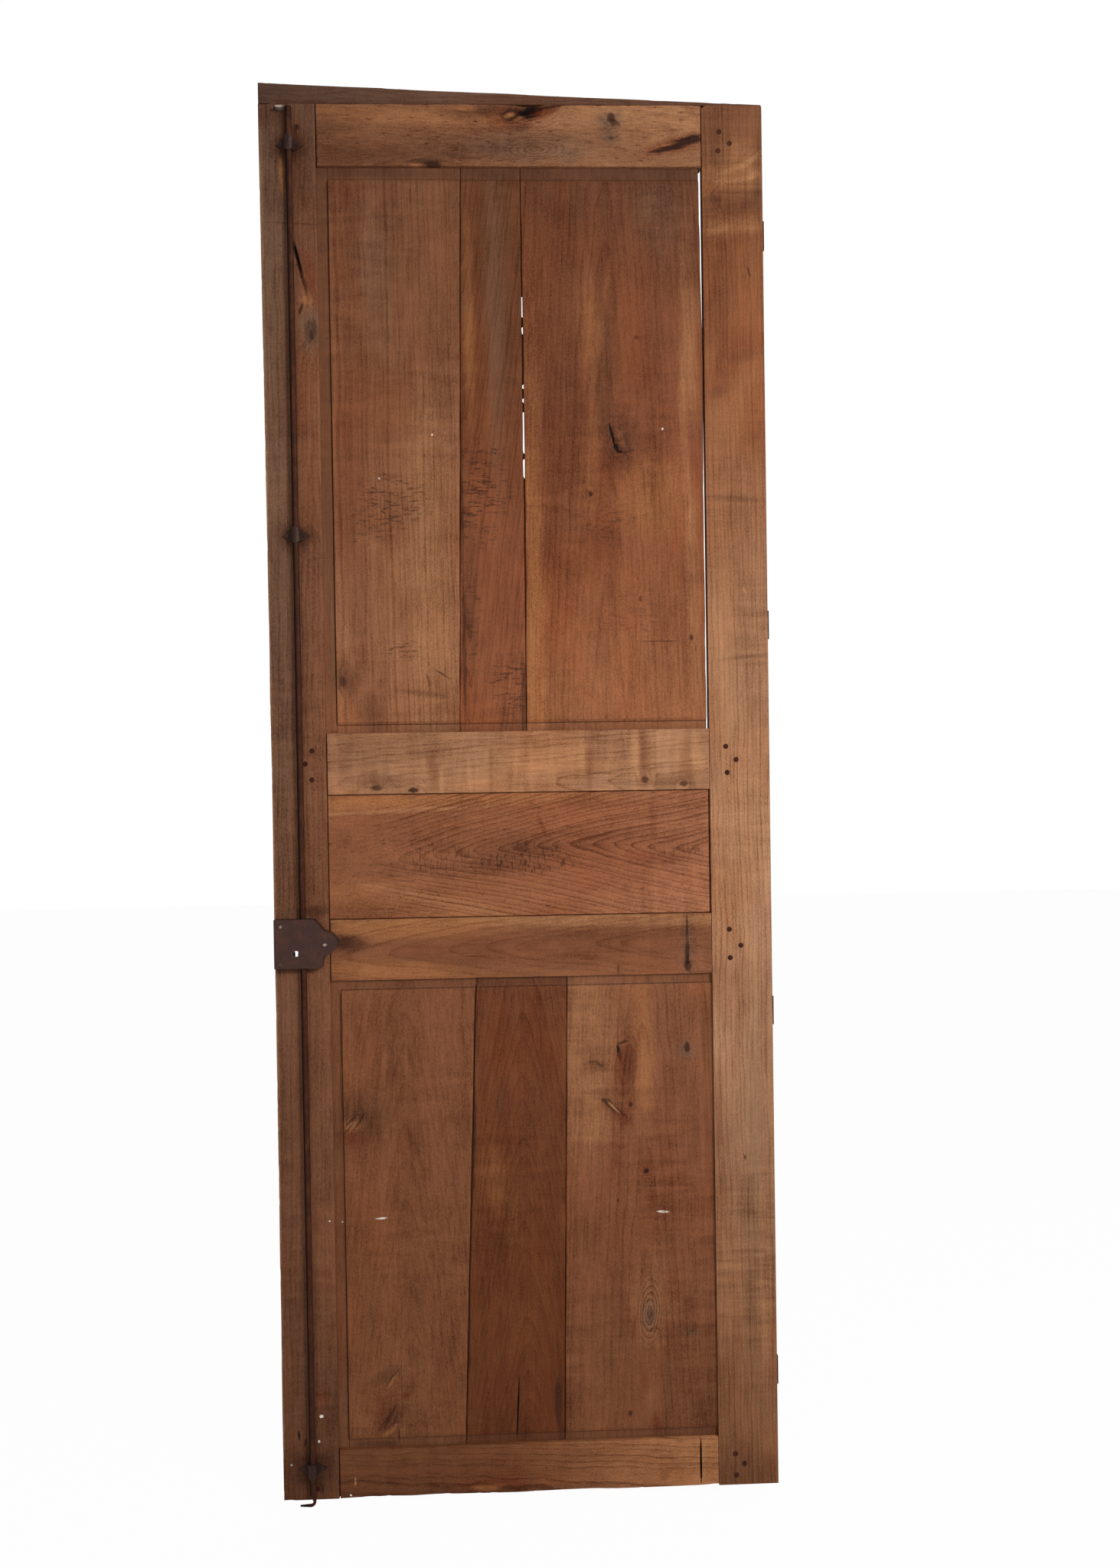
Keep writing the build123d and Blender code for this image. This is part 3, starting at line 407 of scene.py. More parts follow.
lower_rail_wood = wood(
    "lower_middle_rail_cherry", "X",
    ((0.1, 114, 71, 48), (0.5, 120, 75, 50), (0.9, 122, 77, 52)),
    heart=(806, 9), taper=-0.14, ring=10.0, rings=0.2, clear=0.5, strand=20.0, sway=14.0, specks=0.5,
    seed=41.0,
    marks=(("sap", (500, 848, 330, 10, 50, -1)), ("gold", (190, 842, 130, 17, 60, 2),
        (190, 776, 110, 14, 50, -4)), ("grey", (608, 806, 8, 40, 50)), ("dark", (608, 838, 1.7, 14, 70),
        (608, 812, 2.4, 20, 50, 3), (607, 792, 3.4, 18, 70, -3), (608, 778, 6, 9, 80)),
        # the dark ovals at 112, 820 and 102, 822 are painted shadow to the right of the lock's ear
        ("black", (608, 786, 2.2, 9, 60)), ("soot", (112, 820, 22, 13, 80), (102, 822, 11, 9, 70)),
        ("dark", (505, 774, 1.2, 8, 60)), ("red", (330, 810, 150, 18, 25, 2))))
bottom_rail_wood = wood(
    "bottom_rail_cherry", "X",
    ((0.1, 95, 56, 34), (0.45, 102, 61, 38), (0.7, 142, 93, 60), (0.9, 146, 97, 63)),
    heart=(-10, 40), taper=0.03, ring=8.0, rings=0.3, seed=53.0,
    marks=(("black", (618, 38, 1.5, 36, 95)), ("shade", (260, 4, 260, 6, 60)),
        ("white", (99, 5, 1.5, 1.5, 80)), ("red", (310, 14, 40, 8, 60)), ("gold", (300, 10, 22, 4, 60)),
        ("sap", (106, 25, 1.2, 6, 60))))
upper_left_wood = wood(
    "upper_left_board_cherry", "Z",
    ((0.54, 138, 90, 62), (0.66, 130, 84, 57), (0.78, 119, 76, 51), (0.96, 108, 68, 46)),
    heart=(-60, 40), taper=0.006, ring=8.0, rings=0.2, clear=0.5, strand=18.0,
    border=(OPENING[0] + UPPER_LEFT, None, *UPPER_FIELD), seed=61.0,
    marks=(("sap", (240, 1340, 34, 240, 30)), ("red", (120, 1500, 26, 130, 40)),
        ("grey", (165, 1790, 20, 90, 30)), ("dark", (108, 1203, 5, 8, 85)),
        ("shade", (110, 1210, 14, 24, 60)), ("dark", (254, 1212, 14, 1.2, 70, -32),
        (232, 1205, 1.2, 10, 60, 12)), ("shade", (150, 1160, 16, 22, 50), (180, 1943, 130, 7, 70),
        (90, 1500, 6, 500, 50)), ("dark", (97.9, 1536, 1, 410, 70)), ("white", (244, 1562, 1.3, 1.3, 90),
        (166, 1499, 1.3, 1.3, 90)), ("shade", (220, 1185, 34, 4, 40, -8))),
    tears=((180, 1460, 55, 40, 75), (196, 1248, 24, 14, 70), (150, 1420, 40, 16, 50)))
upper_middle_wood = wood(
    "upper_middle_board_cherry", "Z",
    ((0.54, 130, 76, 49), (0.68, 120, 69, 44), (0.8, 100, 58, 35), (0.96, 93, 55, 34)),
    heart=(230, 20), taper=-0.14, ring=8.5, rings=0.28, clear=0.6, strand=24.0,
    border=(None, None, *UPPER_FIELD), seed=73.0,
    marks=(("grey", (340, 1750, 14, 200, 40)), ("shade", (296, 1320, 8, 80, 50)),
        ("dark", (285, 1500, 3, 160, 50)), ("gold", (300, 1720, 8, 130, 30)),
        ("dark", (372, 1170, 5, 60, 60)), ("shade", (333, 1943, 60, 7, 70)),
        ("dark", (286, 1240, 3, 90, 60))),
    tears=((310, 1480, 40, 70, 85), (355, 1190, 26, 50, 80), (300, 1300, 12, 60, 60)))
upper_right_wood = wood(
    "upper_right_board_cherry", "Z",
    ((0.54, 142, 89, 58), (0.66, 124, 73, 46), (0.76, 112, 63, 39), (0.86, 107, 62, 39),
     (0.96, 95, 57, 37)),
    heart=(500, 26), taper=0.05, ring=8.0, rings=0.17, clear=0.5, strand=18.0,
    border=(None, None, *UPPER_FIELD), seed=83.0,
    eyes=(
        (514, 1549, 11, 18, 14, 30), (545, 1703, 5, 4, 0, 30), (546, 1500, 9, 10, 0, 25),
        (492, 1432, 10, 24, 0, 25),
    ),
    marks=(("gold", (390, 1250, 13, 360, 60)), ("sap", (622, 1640, 13, 190, 25),
        (624, 1330, 9, 150, 30, 1)), ("shade", (430, 1540, 30, 160, 30), (510, 1943, 140, 8, 60),
        (462, 1898, 12, 44, 45)), ("grey", (580, 1880, 30, 50, 30)), ("gold", (481, 1692, 14, 90, 28, 4),
        (478, 1502, 14, 80, 25, -3), (500, 1760, 5, 50, 15, -8)), ("shade", (502, 1690, 9, 70, 40, 5),
        (494, 1610, 12, 60, 50, 6)), ("red", (510, 1512, 30, 26, 60), (490, 1420, 24, 60, 50, -10)),
        ("gold", (560, 1470, 50, 50, 35, 30)), ("red", (628, 1534, 9, 60, 60, 4)),
        ("shade", (522, 1574, 28, 20, 40, -20), (520, 1538, 24, 30, 50, 10)),
        ("dark", (523, 1545, 10, 13, 40, 20)), ("gold", (521, 1553, 4, 12, 25, 16)),
        ("dark", (530, 1536, 10, 2, 50, 14)), ("black", (507, 1562, 2, 16, 100, 12),
        (513, 1542, 3.6, 6, 100, 24), (519, 1536, 6, 1.8, 90, -14)), ("red", (570, 1866, 12, 1.4, 50),
        (568, 1848, 1.4, 16, 50)), ("dark", (545, 1703, 3.4, 2.4, 60), (475, 1474, 3.4, 4, 90),
        (575, 1257, 26, 1.2, 50), (621, 1262, 3, 4, 80), (546, 1320, 3, 5, 60)),
        ("white", (582, 1569, 1.3, 1.3, 90))),
    tears=((500, 1432, 44, 32, 50), (540, 1300, 60, 40, 30)))
middle_panel_wood = wood(
    "middle_panel_cherry", "X",
    ((0.1, 126, 77, 51), (0.5, 132, 81, 54), (0.9, 141, 89, 62)),
    heart=(950, 5), taper=-0.24, ring=7.0, rings=0.44, clear=0.8, strand=24.0, sway=26.0, specks=0.6,
    calm=(0.12, 0.34), seed=97.0,
    marks=(("gold", (200, 1027, 240, 10, 60, 1)), ("sap", (190, 1013, 130, 3, 40, 2)),
        ("gold", (190, 876, 200, 26, 20, -10)), ("sap", (250, 878, 110, 8, 20, -13)),
        ("shade", (200, 930, 130, 14, 20)), ("red", (470, 930, 130, 40, 25)),
        ("shade", (352, 948, 60, 22, 35, 4)), ("red", (396, 988, 3, 14, 60, 20), (566, 940, 50, 7, 40),
        (560, 1000, 5, 30, 30))),
    tears=((372, 938, 66, 20, 95), (240, 946, 52, 26, 65), (600, 945, 30, 14, 50)))
lower_left_wood = wood(
    "lower_left_board_cherry", "Z",
    ((0.03, 111, 68, 43), (0.15, 115, 71, 46), (0.37, 119, 73, 48)),
    heart=(190, 16), taper=0.16, ring=9.0, rings=0.11, clear=0.4, strand=20.0,
    border=(OPENING[0] + LOWER_LEFT, None, *LOWER_FIELD), seed=103.0,
    eyes=((114, 556, 10, 9, 20, 40), (156, 172, 13, 7, 45, 35), (150, 116, 13, 7, 45, 30)),
    marks=(("dark", (96.9, 418, 0.8, 340, 60)), ("shade", (128, 557, 30, 38, 60, -10),
        (116, 552, 22, 22, 40)), ("red", (106, 534, 20, 16, 50)), ("gold", (110, 551, 16, 9, 45, 10)),
        ("dark", (108, 557, 2.4, 12, 75, -40), (116, 553, 2.2, 11, 70, -35), (123, 560, 2.2, 12, 60, -32),
        (104, 546, 1.8, 9, 60, -40)), ("sap", (113, 551, 1.8, 8, 50, -38), (105, 551, 1.6, 7, 40, -38)),
        ("red", (112, 528, 22, 3, 50, 12)), ("white", (151, 413, 7, 1.4, 70, 3), (93, 408, 1.2, 1.2, 80)),
        ("shade", (152, 178, 30, 9, 50, 28)), ("gold", (162, 172, 12, 3, 45, 52)),
        ("dark", (166, 181, 9, 1.8, 60, 40), (158, 170, 9, 1.6, 50, 58)),
        ("shade", (156, 114, 24, 15, 60, 55)), ("red", (150, 120, 12, 26, 40, -28)),
        ("dark", (158, 118, 2.4, 20, 65, -28), (149, 109, 2.2, 14, 60, -34), (165, 112, 1.8, 12, 50, -20)),
        ("gold", (158, 97, 12, 3.4, 50, 40)), ("red", (182, 149, 6, 3, 70)),
        ("dark", (176, 170, 0.8, 70, 45)), ("black", (171, 86, 1.2, 14, 70, 2)),
        ("dark", (140, 77, 30, 4, 50))))
lower_middle_wood = wood(
    "lower_middle_board_cherry", "Z",
    ((0.03, 93, 50, 27), (0.15, 97, 53, 29), (0.37, 106, 61, 38)),
    heart=(362, 12), taper=0.2, ring=9.0, rings=0.16, clear=0.5, strand=24.0,
    border=(None, None, *LOWER_FIELD), seed=113.0,
    marks=(("black", (347, 122, 1.2, 50, 95, -3)), ("dark", (288, 560, 4, 60, 70), (284, 480, 4, 30, 70),
        (276, 300, 3, 120, 50), (408, 130, 6, 40, 60)), ("shade", (330, 580, 16, 30, 50)),
        ("gold", (320, 460, 20, 60, 25, 10))))
lower_right_wood = wood(
    "lower_right_board_cherry", "Z",
    ((0.03, 108, 66, 42), (0.15, 113, 69, 45), (0.28, 116, 70, 46), (0.37, 124, 79, 53)),
    heart=(540, 24), taper=0.05, ring=9.0, rings=0.17, clear=0.4, curl=0.17, bars=(10.0, 84.0), strand=16.0,
    border=(None, None, *LOWER_FIELD), seed=127.0,
    eyes=(
        (515, 630, 12, 33, -8, 25), (545, 262, 8, 22, -4, 80), (473, 634, 10, 6, 0, 20),
        (502, 562, 12, 7, -40, 25), (521, 572, 4, 5, 0, 30), (543, 472, 4, 8, 0, 40),
    ),
    marks=(("sap", (452, 635, 44, 120, 25), (455, 530, 38, 12, 14), (462, 596, 34, 14, 15)),
        ("gold", (541, 640, 12, 110, 30)), ("shade", (490, 590, 50, 10, 25, -6), (470, 655, 40, 8, 20, 4)),
        ("red", (515, 630, 14, 37, 80, -8)), ("shade", (518, 622, 9, 30, 50, -8)),
        ("dark", (514, 636, 1.8, 24, 45, -8), (520, 626, 1.6, 20, 45, -8), (505, 650, 2.4, 14, 70, 10),
        (511, 665, 8, 2.2, 75, 18)), ("black", (503, 656, 1.6, 5, 80, 10)),
        ("shade", (473, 634, 15, 9, 50, -10)), ("dark", (476, 632, 6, 2.4, 60, -30), (466, 637, 9, 1.6, 50)),
        ("shade", (501, 563, 26, 9, 60, -42)), ("red", (508, 553, 15, 8, 50, -40)),
        ("dark", (483, 579, 8, 2.4, 70, -8), (490, 570, 12, 2, 70, -46), (503, 564, 14, 1.8, 60, -44)),
        # the thin pale oval at 496, 568 is a painted highlight along the knot's glossy branch
        ("sap", (496, 568, 11, 1.8, 60, -45)), ("red", (521, 573, 6, 8, 60)),
        ("dark", (521, 572, 3, 3.4, 90)), ("shade", (540, 510, 6, 40, 30)), ("red", (543, 474, 9, 9, 60)),
        ("dark", (543, 472, 4, 4, 90)), ("black", (543, 472, 1.8, 1.8, 80)),
        ("grey", (604, 650, 10, 13, 70)), ("dark", (606, 655, 4.5, 8, 85)),
        ("white", (567, 411, 8, 1.8, 95, -3)), ("sap", (546, 285, 26, 60, 20)),
        ("grey", (545, 257, 12, 19, 65, -6)), ("dark", (545, 256, 5, 10, 45, -6)),
        ("grey", (606, 230, 12, 6, 50)), ("dark", (608, 232, 5, 2, 40, 20), (514, 111, 3, 4, 80)),
        ("red", (552, 94, 6, 14, 70)), ("dark", (500, 430, 2, 3, 70)), ("red", (536, 160, 5, 14, 50))))
strip_wood = wood(
    "top_strip_wood", "X",
    ((0.0, 80, 56, 45), (0.4, 92, 65, 50), (0.9, 98, 68, 52)),
    heart=(2100, 40), taper=0.01, ring=6.0, rings=0.2, seed=131.0,
    marks=(("shade", (360, 2040, 400, 2, 70), (480, 2048, 160, 6, 40)),))
peg_wood = wood(
    "peg_wood", "Z",
    ((0.0, 56, 29, 19), (1.0, 62, 33, 22)),
    heart=(-100, 60), seed=139.0)


# Iron

PIT = srgb(26, 16, 13)
# painted shade colour, near black, for the rod's left flank
FLANK_SHADE = srgb(16, 8, 5)
# painted highlight colour for bright glints on the iron
GLINT = srgb(176, 158, 146)


def iron(name, base, rust, pale, rough, metal, seed, glints=(), shine=0.2, flank_shade=None):
    """Old wrought iron: brown skin, rust clouds, paler worn patches, fine pits, painted glints and shade.

    base, rust and pale are its colours. The bright spots are painted highlights, ovals: u, v, half sizes,
    percent. The last argument gives two places u: painted shade, near black, covers what is left of the
    first and ends at the second, darkening the rod's left flank.
    """
    g = Graph(name)
    blotch = g.cloud((60.0, 60.0, 60.0), seed, detail=4.0, rough=0.6)
    fine = g.cloud((420.0, 420.0, 420.0), seed + 2.0, detail=3.0, rough=0.6)
    worn = g.cloud((150.0, 150.0, 35.0), seed + 4.0, detail=3.0)
    paint = g.mix(blotch.step(-0.25, 0.45) * 0.8, base, rust)
    paint = g.mix(worn.step(0.15, 0.7) * 0.6, paint, pale)
    paint = g.mix(fine.step(0.1, 0.6) * 0.5, paint, PIT)
    # painted shade: the rod's left flank is darkened towards black
    if flank_shade is not None:
        left, right = (place(u, 0.0)[0] for u in flank_shade)
        paint = g.mix(g.x.step(right, left) * 0.85, paint, FLANK_SHADE)
    # painted highlights: bright glint spots laid on the iron's colour
    for u, v, half_u, half_v, strength in glints:
        spot = g.oval(u, v, half_u, half_v, fine * 0.5).step(1.2, 0.3) * (strength / 100)
        paint = g.mix(spot, paint, GLINT)
    g.join(g.shader.inputs["Metallic"], metal)
    g.join(g.shader.inputs["Specular IOR Level"], shine)
    return g.finish(paint, fine * 0.1 + blotch * 0.08 + rough, fine * 0.6 + blotch * 0.4, 0.5 * MM)


# the rod's bright spots at its top hook and by its top guide are painted highlights, its dark left flank
# painted shade
rod_iron = iron("rod_iron", srgb(56, 30, 19), srgb(78, 42, 26), srgb(98, 58, 38), 0.55, 0.1, 3.0,
                glints=((33, 2031, 8, 3.4, 90), (43, 1973, 3, 4, 80)), shine=0.08, flank_shade=(42.0, 44.5))
guide_iron = iron("guide_iron", srgb(48, 31, 24), srgb(66, 42, 31), srgb(86, 62, 50), 0.5, 0.2, 11.0)
lock_iron = iron("lock_iron", srgb(66, 45, 40), srgb(84, 52, 42), srgb(90, 68, 62), 0.5, 0.3, 17.0)
# the bright spots on the nail heads are painted highlights
nail_iron = iron("nail_iron", srgb(70, 52, 47), srgb(92, 66, 56), srgb(128, 104, 94), 0.4, 0.45, 23.0,
                 glints=((78, 821, 3.2, 2.4, 95), (15, 848, 2.2, 2.2, 60)))
hinge_iron = iron("hinge_iron", srgb(36, 25, 21), srgb(56, 36, 28), srgb(72, 56, 49), 0.55, 0.3, 29.0)


# Worn boards: lengths in mm, the angle of a sharp edge in degrees

COVE = 9.0
TONGUE_FRONT = -7.9
TONGUE_BACK = -0.3
LAP_FRONT = -5.5
LAP_BACK = -1.5
REACH = 7.0
BEVEL_WIDTH = 34.0
BEVEL_RISE = 5.6
HAIR = 0.02
ALONG_STEP = 5.0
ACROSS_STEP = 3.2
PANEL_STEP = 4.2
SHARP_EDGE = 35.0
WAVE_GRID = (97, 89)


def waves(a, b, seed):
    """Smooth random heights from -1 to 1: values on a unit grid, eased between its corners."""
    table = np.random.default_rng(seed).uniform(-1, 1, WAVE_GRID)
    i = np.floor(a).astype(int)
    j = np.floor(b).astype(int)
    s = (a - i) ** 2 * (3 - 2 * (a - i))
    t = (b - j) ** 2 * (3 - 2 * (b - j))
    this, after = i % WAVE_GRID[0], (i + 1) % WAVE_GRID[0]
    under, over = j % WAVE_GRID[1], (j + 1) % WAVE_GRID[1]
    low = table[this, under] * (1 - s) + table[after, under] * s
    high = table[this, over] * (1 - s) + table[after, over] * s
    return low * (1 - t) + high * t


def ease(value, low, high):
    """0 below low, 1 above high, smooth between them."""
    t = np.clip((value - low) / (high - low), 0, 1)
    return t * t * (3 - 2 * t)


def spaced(start, end, step, extra=()):
    """Places from start to end, close together at both ends and round each extra place."""
    near = np.array((0.0, 0.4, 0.9, 1.6, 2.6, 4.2))
    round_about = np.array((-1.6, -0.7, 0.0, 0.7, 1.6))
    middle = np.linspace(start + 6.5, end - 6.5, max(2, int((end - start) / step)))
    beside = [spot + round_about for spot in extra]
    return np.unique(np.concatenate([start + near, end - near, middle, *beside]))


def rounded(d, radius):
    """Depth lost at a distance d from an edge worn to a quarter circle of that radius."""
    inside = np.clip(1 - d / radius, 0, 1)
    return radius * (1 - np.sqrt(1 - inside ** 2))


def arris(d, along, seed, least=0.7):
    """Depth lost at an edge whose roundness changes along it and which is chipped here and there."""
    radius = least + 0.5 * (1 + waves(along / 60, 0 * along, seed))
    chips = 2.2 * np.clip(waves(along / 11, 0 * along, seed + 1) - 0.55, 0, 1) / 0.45
    return rounded(d, radius + chips)


def planed(u, v, seed, deep=0.35):
    """Shallow hollows of a hand-planed face, never above it."""
    slow = waves(u / 70, v / 160, seed) + 0.5 * waves(u / 24, v / 60, seed + 1)
    return deep * (1.5 + slow) / 3


def dug(u, v, marks):
    """Depth of knots and cracks: oval bowls given by u, v, half sizes, turn in degrees and depth."""
    depth = 0 * u
    for mark_u, mark_v, half_u, half_v, turn, deep in marks:
        c, s = math.cos(math.radians(turn)), math.sin(math.radians(turn))
        p = ((u - mark_u) * c + (v - mark_v) * s) / half_u
        q = ((v - mark_v) * c - (u - mark_u) * s) / half_v
        depth = np.maximum(depth, deep * np.clip(1 - p ** 2 - q ** 2, 0, 1))
    return depth


def cove(d, run_out):
    """Depth of a hollow moulding at distance d from the edge and run_out from the end where it dies out."""
    from_edge = np.clip(d, 0, None)
    from_end = np.clip(COVE - run_out, 0, None)
    return np.sqrt(np.clip(COVE ** 2 - from_edge ** 2 - from_end ** 2, 0, None))


def cells(index):
    """The four corners of each cell of a grid of points."""
    return np.stack([index[:-1, :-1], index[1:, :-1], index[1:, 1:], index[:-1, 1:]], -1)


def rim(index):
    """The border of a grid of points, once round."""
    return np.concatenate([index[:-1, 0], index[-1, :-1], index[:0:-1, -1], index[0, :0:-1]])


def walls(near, far):
    """Cells between two rings of points."""
    return np.stack([near, far, np.roll(far, -1), np.roll(near, -1)], -1)


def slab(name, node, u, v, front, back, finish, hole=None, drift=0.0):
    """A closed board: two faces over one grid of places u, v, at depths front and back, joined at the rim.

    hole names the first and last grid lines of a block that is left out of both faces and walled. drift is
    how far the rear face's places lie to the left of the front ones.
    """
    x, z = place(u, v)
    front_points = np.stack([x, front * MM, z], -1)
    back_points = np.stack([x - drift * MM, back * MM, z], -1)
    points = np.stack([front_points, back_points]).reshape(-1, 3)
    near = np.arange(u.size).reshape(u.shape)
    far = near + u.size
    kept = np.ones((u.shape[0] - 1, u.shape[1] - 1), bool)
    sides = [walls(rim(near), rim(far))]
    if hole is not None:
        (i0, i1), (j0, j1) = hole
        kept[i0:i1, j0:j1] = False
        block = np.s_[i0:i1 + 1, j0:j1 + 1]
        sides.append(walls(rim(near[block])[::-1], rim(far[block])[::-1]))
    quads = np.concatenate([cells(near)[kept], cells(far)[kept][:, ::-1], *sides])
    mesh = bpy.data.meshes.new(name)
    mesh.from_pydata(points.tolist(), [], quads.tolist())
    mesh.polygons.foreach_set("use_smooth", np.ones(len(quads), bool))
    mesh.set_sharp_from_angle(angle=math.radians(SHARP_EDGE))
    mesh.materials.append(finish)
    board = bpy.data.objects.new(name, mesh)
    bpy.context.scene.collection.objects.link(board)
    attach(board, "door")
    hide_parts(node)


KEY = (36.5, 808.6)
KEY_RADIUS = 4.2
KEY_SLOT = (2.0, 17.0)
KEY_SLANT = 5.0
KEY_REACH = 18
BOW = 2.2
BOW_REACH = 24.0
STILE_CRACKS = (
    (53.0, 1818.0, 2.4, 36.0, 13.0, 4.0),
    (62.0, 1776.0, 2.0, 16.0, 20.0, 2.0),
    (74.0, 1714.0, 6.0, 14.0, 0.0, 1.2),
)


def lock_stile():
    """The lock stile: a long board, bowed in at its outer edge, with key hole and hollow moulding."""
    crack_columns = (52.0, 56.0)
    hole_columns = KEY[0] + KEY_RADIUS * np.linspace(-1, 1, 7)
    columns = np.unique(np.concatenate([spaced(0.0, OPENING[0], ACROSS_STEP, crack_columns), hole_columns]))
    from_key = np.abs(columns - KEY[0])
    columns = columns[(from_key > KEY_RADIUS + 0.6) | (from_key < KEY_RADIUS + 0.01)]
    rows = spaced(0.0, HEIGHT, ALONG_STEP)
    slot_rows = KEY[1] - KEY_SLOT[1] + np.arange(0, 12.1, 3.0)
    hole_rows = np.concatenate([slot_rows, KEY[1] + np.linspace(-3.0, KEY_RADIUS, 6)])
    clear_rows = rows[(rows < hole_rows[0] - 1) | (rows > hole_rows[-1] + 1)]
    rows = np.unique(np.concatenate([clear_rows, hole_rows]))
    flat_u, v = np.meshgrid(columns, rows, indexing="ij")
    t = v / HEIGHT
    left = BOW * 4 * t * (1 - t) + 0.35 * (1 + waves(v / 90, 0 * v, 201))
    share = np.clip(1 - flat_u / BOW_REACH, 0, 1)
    u = flat_u + left * share
    first, last = (np.flatnonzero(np.isclose(columns, edge))[0] for edge in hole_columns[[0, -1]])
    low, high = (np.flatnonzero(np.isclose(rows, edge))[0] for edge in (hole_rows[0], hole_rows[-1]))
    du, dv = u - KEY[0], v - KEY[1]
    block = np.s_[first:last + 1, low:high + 1]
    round_half = np.sqrt(np.clip(KEY_RADIUS ** 2 - dv[block] ** 2, 0, None))
    wide = np.where(dv[block] < -3.7, KEY_SLOT[0], round_half)
    u[block] = KEY[0] + du[block] / KEY_RADIUS * np.maximum(wide, HAIR)
    beside = np.clip(1 - np.clip(np.abs(du) - KEY_RADIUS, 0, None) / KEY_REACH, 0, 1)
    from_slot = np.clip(np.abs(dv + KEY_SLOT[1] / 2) - KEY_SLOT[1], 0, None)
    slant = KEY_SLANT * beside * np.clip(1 - from_slot / KEY_REACH, 0, 1)
    u = u - slant / 2
    d = np.minimum.reduce([u - left, OPENING[0] - u])
    ends = np.minimum(v, HEIGHT - v)
    front = FACE + planed(u, v, 203) + np.maximum(arris(d, v, 205), arris(ends, u, 207))
    front += dug(u, v, STILE_CRACKS)
    run = np.maximum.reduce([np.minimum(v - lo, hi - v) for lo, hi in (LOWER, MIDDLE, UPPER)])
    hollow = np.where(run > 0, cove(OPENING[0] - u, run), 0)
    worn = np.maximum(arris(d, v, 209), arris(ends, u, 211))
    back = REAR - np.maximum(hollow, worn) - planed(u, v, 213)
    slab("lock_stile_worn", "lock_stile", u, v, front, back, lock_stile_wood,
         hole=((first, last), (low, high)), drift=slant)


def rail(node, foot, head, finish, seed, coved, gap=1.5, end_gap=0.4, marks=(), ragged=0.0):
    """A rail between the stiles: tenons behind its shoulders, a hollow moulding on the rear edges."""
    start = OPENING[0] + gap
    end = OPENING[1] - end_gap
    body = spaced(start, end, ALONG_STEP, tuple(mark[0] for mark in marks if mark[2] < 3))
    columns = np.concatenate([[start - gap - REACH, start - HAIR], body, [end + HAIR, end + REACH]])
    rows = spaced(0.0, head - foot, ACROSS_STEP)
    u, flat_v = np.meshgrid(columns, rows, indexing="ij")
    lift = ragged * (1 + waves(u / 38, 0 * u, seed + 9)) * np.clip(1 - flat_v / 14, 0, 1)
    v = foot + flat_v + lift
    edge = np.minimum(v - foot - lift, head - v)
    ends = np.minimum(u - start, end - u)
    tenon = ends < 0
    worn = np.maximum(arris(edge, u, seed), arris(np.abs(ends), v, seed + 1, 0.4))
    front = np.where(tenon, TONGUE_FRONT, FACE + planed(u, v, seed + 2) + worn + dug(u, v, marks))
    hollow = 0 * u
    if "foot" in coved:
        hollow = np.maximum(hollow, cove(v - foot - lift, COVE))
    if "head" in coved:
        hollow = np.maximum(hollow, cove(head - v, COVE))
    back = np.where(tenon, TONGUE_BACK, REAR - planed(u, v, seed + 3) - np.maximum(worn, hollow))
    slab(node + "_worn", node, u, v, front, back, finish)


